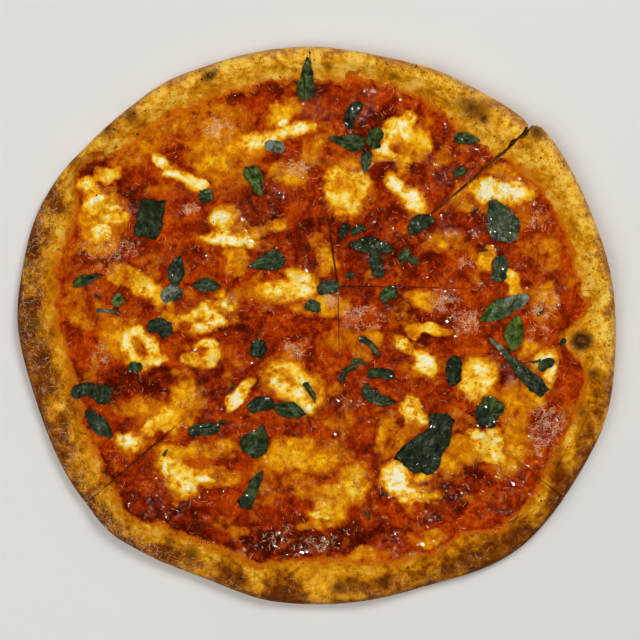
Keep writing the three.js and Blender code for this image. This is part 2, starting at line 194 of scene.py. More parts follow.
@dataclass(frozen=True)
class PizzaForm:
    """The pizza's outline, rim and heights. Lobes are (angle, half stretch, size, slice if only one)."""

    half_length: float = 165.2
    half_width: float = 154.0
    swells: tuple = (
        (38, 20, 3.6, 1), (44, 14, 2.2), (77, 16, -1.7), (122, 10, 1.2), (156, 18, 2.6), (180, 14, 0.67),
        (196, 24, -4), (225, 9, 2), (246, 16, -3), (313, 24, 7.4), (338, 22, 4),
    )
    rim_width: float = 18.0
    rim_lobes: tuple = (
        (357, 7, 9), (45, 22, 9), (77, 14, -4), (132, 14, -3), (146, 8, -13), (158, 7, 3),
        (190, 28, 6.5), (225, 10, -4), (270, 22, 7.5), (305, 6, 6), (320, 12, -3.5), (345, 8, -2),
    )
    base_height: float = 4.2
    crest_height: float = 13.0
    crest_lobes: tuple = (
        (45, 20, 1.6), (100, 24, -1.5), (180, 10, 1.5), (205, 22, -1.2), (282, 12, 2.4), (318, 20, 2),
        (350, 14, -1),
    )
    lip_height: float = 5.0
    undercut: float = 2.5
    crest_share: float = 0.3
    rim_profile: tuple = (
        (0, 0), (0.245, 0.55), (0.4, 0.86), (0.548, 1), (0.678, 0.92), (0.8, 0.56), (0.917, 0.16), (1, 0),
    )
    blisters: tuple = (
        (356.7, 18, 9, 3.4), (350, 10.5, 6, 2), (342, 13, 5, 1.6), (40.5, 7, 8, 2.4), (180, 8.5, 9, 2.8),
        (241.5, 9.5, 7, 1.6), (113, 8, 6.5, 1.6), (131.5, 6.5, 5, 1.3), (60, 12, 7, 1.5),
        (205, 11, 6, 1.3), (300, 9, 6, 1.4), (90, 8, 5, 1),
    )
    sauce_top: float = 6.0
    meeting_point: tuple = (11.8, 21.7)
    kerf: float = 0.6
    cut_length: float = 165.0

    def lobes_at(self, lobes: Sequence[tuple], angle: Array, number: Array | int = 0) -> Array:
        """The sum of lobes at angles, on given slices."""
        total = np.zeros_like(angle)
        for lobe in lobes:
            centre, half_stretch, size = lobe[:3]
            offset = (angle - centre + 180.0) % 360.0 - 180.0
            part = size * swell(offset, half_stretch)
            if len(lobe) > 3:
                part = np.where(np.equal(number, lobe[3]), part, 0.0)
            total = total + part
        return total

    def outline(self, angle: Array, number: Array | int = 0) -> Array:
        """Radius of the outer edge at angles."""
        turn = np.radians(angle)
        ellipse = 1.0 / np.hypot(np.cos(turn) / self.half_length, np.sin(turn) / self.half_width)
        return ellipse + self.lobes_at(self.swells, angle, number)

    def rim(self, angle: Array) -> Array:
        """Width of the bare rim at angles."""
        return self.rim_width + self.lobes_at(self.rim_lobes, angle)

    def rim_share(self, x: Array, y: Array, number: Array | int = 0) -> Array:
        """Share of the rim's width in from the edge: 0 at the edge, 1 where the sauce starts."""
        angle = np.degrees(np.arctan2(y, x))
        return (self.outline(angle, number) - np.hypot(x, y)) / self.rim(angle)

    def rise(self, share: Array) -> Array:
        """How far the rim has risen, as a share of its height."""
        return np.clip(smooth_curve(self.rim_profile, np.sqrt(np.clip(share, 0.0, 1.0))), 0.0, 1.05)

    def crust(self, x: Array, y: Array, number: Array | int = 0) -> Array:
        """Height of the crust's top without its fine relief."""
        angle = np.degrees(np.arctan2(y, x))
        share = self.rim_share(x, y, number)
        rise = self.rise(share)
        crest = self.crest_height + self.lobes_at(self.crest_lobes, angle)
        foot_share = np.clip(share / self.crest_share, 0.0, 1.0)
        foot = self.lip_height + (self.base_height - self.lip_height) * foot_share
        height = foot + (crest - foot) * rise
        for at, distance, radius, blister in self.blisters:
            centre = self.outline(np.array(float(at)), number) - distance
            turn = np.radians(at)
            away = np.hypot(x - centre * np.cos(turn), y - centre * np.sin(turn))
            height = height + blister * swell(away, radius) * np.minimum(rise / 0.5, 1.0)
        return height


@dataclass(frozen=True)
class Cut:
    """A cut from the meeting point to the edge: its angle, bow, gape, and how open it looks on the way.

    The openings are (distance out, width), and the cut stays nearly healed between them.
    """

    angle: float
    bow: float = 0.0
    gape: float = 0.0
    openings: tuple = ((0, 0.1), (165, 0.1))


CUTS = (
    Cut(-1, 0, 0, ((0, 0.45), (6, 0.5), (60, 0.4), (74, 0.08), (120, 0), (140, 0.15), (165, 0.2))),
    Cut(40.4, -3.3, 2, ((0, 0.1), (30, 0), (60, 0), (72, 0.6), (80, 0.05), (92, 0.5), (108, 0.5), (118, 1.3), (148, 0.9), (165, -0.9))),
    Cut(96.2, 2.2, 0.3, ((0, 0.8), (33, 1), (40, 0), (120, -0.05), (140, 0.2), (165, 0.3))),
    Cut(140, 1.5, 0, ((0, 0), (20, -0.05), (84, -0.05), (90, 0.35), (97, -0.05), (140, 0), (165, 0.2))),
    Cut(177.7, -1, 0, ((0, 0.2), (30, 0.1), (50, -0.05), (130, -0.05), (145, 0.1), (165, 0.2))),
    Cut(220.8, 0, 0.3, ((0, 0), (60, -0.05), (112, -0.05), (120, 0.2), (128, 0.7), (140, 0.7), (150, 0.4), (165, 0.4))),
    Cut(269.4, 1.5, 0, ((0, 0.55), (24, 0.5), (40, 0.1), (62, 0.05), (80, 0.35), (100, 0), (140, 0), (165, 0.2))),
    Cut(316.7, -3.3, 0, ((0, 0.05), (30, -0.05), (62, 0), (70, 0.2), (80, 0), (130, 0.1), (142, 0.4), (165, 0.5))),
)


@dataclass(frozen=True)
class Slice:
    """One slice, between two neighbouring cuts."""

    number: int
    form: PizzaForm

    FADE = 2.5
    RAGGED = 0.35

    @property
    def cuts(self) -> tuple[Cut, Cut]:
        """The slice's two cuts, anticlockwise."""
        return CUTS[self.number - 1], CUTS[self.number % len(CUTS)]

    @property
    def angles(self) -> tuple[float, float]:
        """Where the slice starts and ends."""
        first, last = self.cuts
        end = last.angle + (360.0 if last.angle < first.angle else 0.0)
        opening = [np.degrees(cut.gape / 2 / self.form.cut_length) for cut in (first, last)]
        return first.angle + opening[0], end - opening[1]

    @property
    def tip(self) -> Array:
        """The slice's inner corner."""
        start, end = self.angles
        middle = np.radians((start + end) / 2)
        inset = self.form.kerf / 2 / np.sin(np.radians(end - start) / 2)
        return np.array(self.form.meeting_point) + inset * np.array([np.cos(middle), np.sin(middle)])

    def on_ray(self, share: Array, distance: Array, sides: tuple[Array, Array] | None = None) -> Array:
        """Points a distance out along the slice's rays.

        Args:
            share: Which ray: 0 is the first cut and 1 the last.
            distance: How far out.
            sides: How far the slice's two sides are moved out over the kerf, if they are.

        Returns:
            The points, one a row.
        """
        start, end = self.angles
        first, last = self.cuts
        angle = np.radians(start + (end - start) * share)
        part = distance / self.form.cut_length
        bow = 4 * (first.bow + (last.bow - first.bow) * share) * part * (1 - part)
        if sides is not None:
            arc = np.maximum(distance * np.radians(end - start), 1e-6)
            near_first = np.clip(1 - share * arc / self.FADE, 0.0, 1.0)
            near_last = np.clip(1 - (1 - share) * arc / self.FADE, 0.0, 1.0)
            settle = np.clip(distance / 5.0, 0.0, 1.0)
            bow = bow + settle * (near_last * sides[1] - near_first * sides[0])
        tip = self.tip
        return np.stack([
            tip[0] + distance * np.cos(angle) - bow * np.sin(angle),
            tip[1] + distance * np.sin(angle) + bow * np.cos(angle),
        ], axis=-1)

    def closing(self, distance: Array, grain: Grain) -> tuple[Array, Array]:
        """How far each side of the slice is moved out, so that the kerf is as narrow as it looks."""
        moved = []
        for cut in self.cuts:
            places, widths = np.array(cut.openings, dtype=float).T
            width = np.interp(distance, places, widths)
            width = width * (1 + self.RAGGED * grain.plain(distance, distance * 0 + cut.angle, 2.2))
            torn = grain.layered(distance, distance * 0 + 13.0 * self.number, 5.0, 3)
            torn = 0.9 * cut.gape * torn * smooth_step(95.0, 125.0, distance)
            moved.append((self.form.kerf - width) / 2 + np.clip(torn, -1.0, 1.0))
        return moved[0], moved[1]

    def sides_near(self, points: Array) -> tuple[Array, Array]:
        """How points lie to the slice's two cuts.

        Args:
            points: The points, one a row.

        Returns:
            Distance into the slice from each cut, and the direction out over each cut's kerf.
        """
        distance = np.linalg.norm(points - self.tip, axis=1)
        inward, outward = [], []
        for share, side in ((0.0, 1.0), (1.0, -1.0)):
            here, ahead = (self.on_ray(np.full(len(points), share), distance + step) for step in (0.0, 1.0))
            along = (ahead - here) / np.linalg.norm(ahead - here, axis=1)[:, None]
            normal = side * np.stack([along[:, 1], -along[:, 0]], axis=1)
            inward.append(-((points - here) * normal).sum(axis=1))
            outward.append(normal)
        return np.stack(inward), np.stack(outward)

    def from_cut(self, x: Array, y: Array) -> Array:
        """Distance of places from the nearer of the slice's cuts."""
        return np.abs(self.sides_near(np.stack([x, y], axis=1))[0]).min(axis=0)

    def leaning(self, points: Array) -> Array:
        """How far points on the slice's sides move out at their foot, so that the kerf closes there."""
        inward, outward = self.sides_near(points)
        distance = np.linalg.norm(points - self.tip, axis=1)
        moved = np.zeros_like(points)
        for cut, near, normal in zip(self.cuts, inward, outward):
            half_gap = (self.form.kerf + cut.gape * distance / self.form.cut_length) / 2
            on_side = smooth_step(1.0 + 0.7 * cut.gape, 0.5 + 0.5 * cut.gape, np.abs(near))
            moved = moved + normal * (on_side * np.maximum(half_gap + near - 0.03, 0.0))[:, None]
        return moved

    def reach(self, share: Array, inset: Callable[[Array], Array]) -> Array:
        """Distance out along rays at which they reach the outline less an inset that varies by angle."""
        near, far = np.zeros_like(share), np.full_like(share, 2 * self.form.cut_length)
        for _ in range(30):
            distance = (near + far) / 2
            x, y = self.on_ray(share, distance).T
            angle = np.degrees(np.arctan2(y, x))
            inside = np.hypot(x, y) < self.form.outline(angle, self.number) - inset(angle)
            near, far = np.where(inside, distance, near), np.where(inside, far, distance)
        return near

    def trims(self) -> list[tuple[tuple[float, float], tuple[float, float]]]:
        """A point and an outward direction at each side, through the middle of the slice's length."""
        planes = []
        for share, side in ((0.0, 1.0), (1.0, -1.0)):
            here, ahead = self.on_ray(np.full(2, share), np.array([80.0, 81.0]))
            along = (ahead - here) / np.linalg.norm(ahead - here)
            planes.append((tuple(here), (along[1] * side, -along[0] * side)))
        return planes


def slice_at(x: Array, y: Array, form: PizzaForm) -> Array:
    """Number of the slice that each place is on."""
    angle = np.degrees(np.arctan2(y - form.meeting_point[1], x - form.meeting_point[0]))
    starts = np.array([cut.angle for cut in CUTS])
    return np.searchsorted(starts, (angle + 1.0) % 360.0 - 1.0, side="right")


# ---- What lies on the pizza ----

@dataclass(frozen=True)
class CheesePatch:
    """A melted lump of mozzarella: the node that it stands for, its slice, and the blobs it is made of.

    cream is how white its middle has stayed, and broken how far the sauce comes through it.
    """

    node: str
    slice_number: int
    blobs: tuple[Patch, ...]
    cream: float = 1.0
    broken: float = 0.15

    def rest(self, x: Array, y: Array) -> Array:
        """1 in the middle of a blob, 0 at the lump's edge and below 0 outside."""
        highest = np.full_like(x, -9.0)
        for blob in self.blobs:
            rest = blob.rest(x, y)
            apart = np.clip(np.abs(highest - rest) / 0.5, 0.0, 1.0)
            highest = np.maximum(highest, rest) + 0.08 * (1 - apart) ** 2
        return highest


MOZZARELLA = (
    CheesePatch("mozzarella_01", 3, patches((-12.5, 107.5, 24, 8, 12), (-30, 102.5, 25.5, 11, 8), (-18.5, 111.5, 7.5, 6.5))),
    CheesePatch("mozzarella_02", 2, patches((45, 107, 21, 16.5, 35), (51.5, 114, 10, 9), (37, 99, 9, 7, 90), (38.5, 95.5, 16.5, 5, -8)), 0.94),
    CheesePatch("mozzarella_03", 2, patches((17, 76, 26.5, 25, 90)), 0.78),
    CheesePatch("mozzarella_04", 2, patches((43.5, 78, 14.5, 9, -40), (53.5, 69, 18.5, 11, -45))),
    CheesePatch("mozzarella_05", 1, patches((91.5, 74, 15.5, 11, -35), (107, 73.5, 25.5, 13, -3))),
    CheesePatch("mozzarella_06", 8, patches((125.5, -19.5, 14.5, 10, 30), (129, -26.5, 14.5, 6.5, 85)), 0.9),
    CheesePatch("mozzarella_07", 8, patches((88.5, -30, 23, 21, 90)), 0.9),
    CheesePatch("mozzarella_08", 8, patches((48, -11.5, 14.5, 7.5, -40), (60, -21.5, 18.5, 11, -45))),
    CheesePatch("mozzarella_09", 7, patches((52, -46.5, 14.5, 12, 90), (57, -51.5, 12, 7.5, -40)), 0.86),
    CheesePatch("mozzarella_10", 7, patches((45.5, -82, 18.5, 12, -30), (52.5, -91, 28.5, 12, -5), (59.5, -84.5, 14.5, 9)), 1.0, 0.15),
    CheesePatch("mozzarella_11", 7, patches((87, -60, 10, 6.5), (92, -60.5, 10, 5.5, -10), (98, -63, 13, 9, 100), (98, -71, 14.5, 7.5, 110)), 0.88, 0.35),
    CheesePatch("mozzarella_12", 6, patches((3, -104, 14.5, 5.5), (6.5, -96.5, 18.5, 5.5, 85)), 0.74),
    CheesePatch("mozzarella_13", 6, patches((-77.5, -81.5, 22, 15.5, -40), (-73, -89, 13, 12), (-63, -85, 15, 4.5))),
    CheesePatch("mozzarella_14", 5, patches((-102, -63, 15.5, 12), (-89.5, -52.5, 25, 7, 35), (-72, -41.5, 22, 7.5, 35)), 0.96, 0.45),
    CheesePatch("mozzarella_15", 5, patches((-104, -11.5, 18, 8.5, 100), (-100.5, -3.5, 12, 7, 10), (-92.5, -9.5, 21, 7.5, -52), (-89, -19.5, 14, 7.5, 15), (-99, -19.5, 15, 7.5, -30))),
    CheesePatch("mozzarella_16", 5, patches((-70.5, 4, 23, 7, 18), (-55.5, 9.5, 27.5, 13, 28), (-61, 0.5, 24, 7.5, 12)), 1.0, 0.4),
    CheesePatch("mozzarella_17", 5, patches((-68, -19, 16.5, 6.5, -10), (-58, -17.5, 13, 10, 55), (-60, -10.5, 14.5, 6, 5)), 0.84),
    CheesePatch("mozzarella_18", 6, patches((-17.5, -29, 24, 20, -35), (-8.5, -36.5, 25.5, 18.5, -50), (-4.5, -45, 10, 9)), 0.92, 0.3),
    CheesePatch("mozzarella_19_a", 4, patches((-21, 19, 22, 12, -10), (-9.5, 20, 20, 11), (-9, 27, 16.5, 7.5, -20)), 0.88, 0.1),
    CheesePatch("mozzarella_19_b", 5, patches((-21, 19, 22, 12, -10), (-9.5, 20, 20, 11), (-9, 27, 16.5, 7.5, -20)), 0.88, 0.1),
    CheesePatch("mozzarella_20", 4, patches((-52.5, 59, 13, 12), (-48, 47, 32, 8, -6), (-51.5, 53, 9, 9))),
    CheesePatch("mozzarella_21", 4, patches((-84.5, 90, 17.5, 6.5, -38), (-69.5, 80.5, 25.5, 9, -25), (-79, 84, 11, 7.5))),
    CheesePatch("mozzarella_22", 4, patches((-128, 78, 12, 9), (-121.5, 67.5, 22, 15.5, -60), (-113.5, 62.5, 18.5, 15.5)), 1.0, 0.45),
)

# Thin cheese that has spread out over the sauce: orange at a third, yellow at a half, cream near 1.
MELT = patches(
    (98, 74.5, 14, 11, 0, 1), (43, -85.5, 15, 17, 0, .97), (50, -94, 14, 8, -8, .92),
    (-52, 98, 34, 44, 0, .44), (-85, 110, 56, 20, 36, .44), (-62, 112, 40, 18, 10, .34), (-20, 118, 22, 13, 0, .56),
    (-36, 101, 20, 13, 10, .6), (-15, 84, 20, 15, 0, .48), (-2, 96, 12, 14, 0, .42), (-116, 84, 18, 8, 10, .64),
    (-119, 58, 26, 34, 0, .5), (-118, 51, 13, 6, -20, .8), (-126, 43, 20, 8, 0, .4), (-52, 60, 15, 14, 0, .6),
    (-36, 52, 22, 10, 0, .42), (-44, 35, 14, 16, 0, .5), (-94, 20, 30, 12, -35, .72), (-108, 29, 18, 8, -30, .46),
    (-134, 12, 11, 20, 0, .38), (-122, 4, 20, 16, 0, .36), (-80, 3, 16, 9, 0, .5), (-112, -9, 13, 22, 0, .52),
    (-97, -45, 30, 12, 5, .46), (-72, -42, 18, 20, 0, .52), (-85, -52, 24, 12, 30, .6), (-66, -70, 42, 11, 5, .46),
    (-58, -84, 34, 9, 0, .5), (-42, -38, 7, 22, -25, .86), (-44, -115, 16, 8, 0, .4), (-9, -72, 46, 18, 0, .54),
    (-8, -88, 26, 12, 0, .4), (21, -86, 17, 22, 0, .56), (8, -98, 20, 22, 0, .5), (0, -109, 18, 8, 0, .5),
    (-28, -88, 12, 24, 20, .34), (40, -62, 17, 24, 0, .46), (17, -52, 10, 24, 0, .34), (70, -78, 24, 14, 10, .44),
    (110, -55, 15, 44, 8, .48), (118, -38, 14, 18, 0, .44), (104, -79, 14, 14, 0, .46), (84, -68, 20, 14, 0, .46),
    (97, -67, 13, 18, 20, .8), (60, -3, 26, 6, 0, .6), (28, -8, 16, 10, 0, .4), (14, -6, 22, 12, 0, .36), (46, 2, 18, 10, 0, .36),
    (109, 23, 7, 15, 30, .74), (94, 36, 11, 11, 0, .74), (60, 15, 19, 11, 0, .46), (70, 45, 19, 13, 0, .42),
    (104, 84, 22, 9, 0, .42), (82, 70, 13, 15, 0, .38), (55, 100, 14, 20, 0, .56), (40, 92, 18, 7, 0, .6),
    (48, 90, 12, 16, 0, .46), (6, 36, 11, 14, 0, .46), (8, 11, 18, 13, 0, .5), (-6, 10, 14, 8, 0, .42),
    (-24, 54, 14, 7, 0, .42), (127, 14, 14, 20, 0, .42), (127, 40, 12, 24, 0, .36), (119, -13, 11, 9, 0, .42),
    (25, -127, 26, 8, 0, .5), (62, -117, 20, 6, 0, .44), (-18, -18, 24, 8, 20, .36), (-104, 100, 26, 8, 40, .42),
)

# Where a lump has browned or thinned so that it is less white.
BROWNED = patches(
    (14, 78, 10, 9, 0, .26), (19, 86, 9, 5, 0, .26), (45, 100, 8, 8, 0, .34), (60, -86, 17, 13, 0, .36),
    (-110, 61, 6, 5, 0, .3), (-18, -28, 9, 8, 0, .36), (-64, 6, 11, 5, 20, .26), (-84, -49, 26, 8, 35, .26),
    (-97, -11, 6, 8, 0, .3), (-62, -14, 7, 5, 0, .24),
    (-75, -80, 9, 5, -40, .22), (-30, 104, 9, 5, 10, .2), (-50, 54, 9, 4, 0, .2), (8, -97, 7, 9, 0, .26),
    (52, -17, 8, 4, -45, .2), (-80, 87, 9, 4, -30, .2),
)

# Bare sauce, where it is darkest and reddest.
DEEP = patches(
    (-45, 119, 34, 18, 0, .8), (-22, 131, 28, 11, 0, .7), (17, 134, 44, 15, 0, .75), (66, 106, 30, 26, 0, .85),
    (78, 95, 26, 22, 0, .8), (62, 64, 22, 18, 0, .6), (0, 58, 24, 44, 0, .6), (36, 54, 30, 18, 0, .6),
    (48, 40, 46, 28, 0, .7), (86, 36, 22, 22, 0, .55), (126, 50, 22, 34, 0, .6), (-98, 87, 28, 18, 8, .65),
    (-76, 62, 32, 38, 0, .6), (-86, 44, 24, 18, 0, .6), (-132, 35, 20, 11, 0, .65), (-122, 90, 26, 7, 8, .8),
    (-76, -31, 62, 15, 0, .8), (-32, -30, 22, 20, 0, .5), (-20, -1, 44, 18, 0, .55), (-120, -25, 26, 14, 0, .65),
    (-97, -92, 38, 20, 20, .85), (-58, -107, 48, 18, -8, .85), (-10, -119, 96, 17, 0, .95), (50, -118, 40, 16, 8, .8),
    (106, -86, 36, 26, 25, .9), (125, -61, 20, 22, 0, .75), (135, -26, 15, 26, 0, .6), (76, -48, 14, 16, 0, .6),
    (86, -4, 22, 32, 0, .6), (30, -34, 26, 16, 0, .55), (20, -62, 12, 24, 0, .55), (132, 10, 10, 22, 0, .4),
)

# Where grated cheese has fallen most thickly.
SHRED_PATCHES = patches(
    (-11.5, 90, 13, 11, 0, 1), (8.5, 15.5, 7.5, 7.5, 0, 1), (71, 14, 12, 11, 0, 1),
    (81.5, 2, 15.5, 12, 0, .7), (122.5, 2, 11, 20, 0, .8), (-112.5, 30.5, 6.5, 6.5, 0, .8),
    (-118.5, -16, 9, 11, 0, .8), (.5, -120.5, 15.5, 7.5, 0, .6), (-21.5, -116.5, 15.5, 10, 0, .5),
    (-10.5, -12, 14.5, 10, 0, .7), (126, -63, 13, 16.5, 0, .7), (128, -52, 15.5, 15.5, 0, .7),
    (121.5, 57.5, 12, 10, 0, .6), (83, 34, 7.5, 7.5, 0, .7), (-54, 108.5, 13, 11, 0, .8),
    (-69, 64.5, 7.5, 5.5, 0, 1), (26, 4, 20, 11, 0, .7), (-114.5, 41.5, 28.5, 13, 0, .5),
    (127.5, 14, 10, 11, 0, .8),
)

# Scorched spots on the rim.
CHARS = patches(
    (146, -8.5, 15, 14, 0, 1.05), (152.6, -26.7, 11, 10, 0, .62), (146, -48.1, 10, 9, 0, .5),
    (120.7, 105.9, 12, 12, 0, .75), (-156.5, .3, 15, 15, 0, .6), (-69, -126.8, 12, 12, 0, .6),
    (12.4, -143.8, 11, 9, 0, .7), (-58.6, 137.2, 14, 7, 30, .8), (-101.5, 114.7, 11, 8, 40, .6),
    (-115.2, 107.5, 11, 7, 45, .6), (86.6, 119.1, 28, 15, -30, .65), (92, 113.6, 8, 7, 0, .8),
    (6.3, 142.7, 8, 5, 0, .5), (43.2, 137.2, 9, 5, -15, .5), (-24.5, 86, 6, 5, 0, .9),
)


class LeafShape(Enum):
    """Half widths from the stalk end to the tip on the left, and on the right where they differ.

    They are shares of a leaf's half width.
    """

    LEAF = ((0.16, 0.66, 0.94, 1, 0.88, 0.58, 0.1),)
    TIP = ((0.5, 0.92, 1, 0.86, 0.62, 0.36, 0.08),)
    EGG = ((0.05, 0.42, 0.72, 0.92, 1, 0.74, 0.14),)
    SPEAR = ((0.35, 0.66, 0.8, 0.94, 1, 0.72, 0.06),)
    CLUB = ((0.7, 1, 0.92, 0.62, 0.5, 0.36, 0.16),)
    SQUARE = ((0.9, 1, 0.96, 1, 0.97, 1, 0.92), (0.7, 0.96, 1, 0.97, 1, 0.98, 0.95))
    TORN = ((0.55, 0.9, 0.84, 1, 0.88, 1, 0.62), (0.7, 1, 0.8, 0.9, 1, 0.86, 0.5))
    STRIP = ((1, 0.86, 0.8, 0.7, 0.8, 0.56, 0.3),)
    RAGGED = ((0.95, 1, 0.9, 0.7, 0.5, 0.95, 0.3), (0.3, 1.1, 1.2, 0.86, 0.84, 0.56, 0.3))

    def half_width(self, along: Array, side: Array) -> Array:
        """Half width at shares of the way along, on the left where side is above 0, else on the right."""
        places = np.linspace(0, 1, len(self.value[0]))
        return np.where(side > 0, np.interp(along, places, self.value[0]), np.interp(along, places, self.value[-1]))


@dataclass(frozen=True)
class Leaf:
    """A basil leaf or a torn piece of one: its slice, middle, size, direction, bend, shape and looks.

    fresh is how green it has stayed, and frost how much fine cheese clings to it. Either may be given
    as two values, at the stalk end and at the tip.
    """

    slice_number: int
    x: float
    y: float
    length: float
    width: float
    direction: float
    bend: float
    shape: LeafShape
    fresh: float | tuple[float, float] = 0.1
    frost: float | tuple[float, float] = 0.1


L = LeafShape
BASIL = (
    Leaf(3, -5.5, 136, 23, 10, 86, 0, L.TIP, 0.35, 0.1),
    Leaf(2, 20, 116.5, 16.5, 7, 62, 1, L.TORN, 0.15, 0.1),
    Leaf(2, 16.5, 101.5, 19.5, 9.5, 168, 0, L.TIP, 0.45, 0.2),
    Leaf(2, 32.5, 103.5, 12, 9, 70, 1, L.TORN, 0.3, 0.1),
    Leaf(1, 101.7, 57.8, 27.5, 18.4, -63, 0, L.EGG, 0.25, (0.3, 0.5)),
    Leaf(2, 55.5, 55.5, 14.5, 9, 55, 0, L.LEAF, 0.1, 0.2),
    Leaf(2, 30.5, 43.5, 24, 10, -8, 1, L.LEAF, 0.1, 0.1),
    Leaf(1, 101, 31, 14.5, 9, 85, 0, L.TORN, 0.2, 0.35),
    Leaf(8, 103.5, 9.5, 30, 11, 207, -1, L.SPEAR, (0.1, 0.75), (0.65, 0.0)),
    Leaf(8, 109.5, -4.5, 21, 10.4, 80, 1, L.LEAF, (0.85, 1), 0.1),
    Leaf(8, 110.6, -22.4, 43, 8.5, 134.5, 0.6, L.CLUB, (0.1, 0.45), (0.0, 0.35)),
    Leaf(8, 75.5, -24.5, 17, 9, 85, 0, L.TORN, 0.05, 0.1),
    Leaf(8, 95, -47.5, 17.5, 14.5, 60, 0, L.TORN, (0.0, 0.7), 0.1),
    Leaf(7, 62.3, -64.8, 37.5, 21.5, 52, 0, L.RAGGED, 0.05, 0.12),
    Leaf(7, 34, -40, 20.5, 8, -22, -2, L.STRIP, 0.15, 0.1),
    Leaf(4, -28, 35, 21, 11, 195, -1, L.TIP, 0.25, 0.2),
    Leaf(6, -14.5, -47, 18.5, 9, -12, 1, L.LEAF, 0.3, 0.1),
    Leaf(6, -32.8, -63.5, 18.5, 15.5, 60, 0, L.TIP, 0.25, 0.15),
    Leaf(6, -35.3, -90.3, 23.5, 8.5, 62, 0, L.STRIP, 0.2, 0.2),
    Leaf(5, -120, -54.5, 21, 9.5, -47, 0, L.LEAF, 0.1, 0.3),
    Leaf(4, -92, 59, 21.5, 14.5, 80, 0, L.SQUARE, 0.16, 0.12),
)

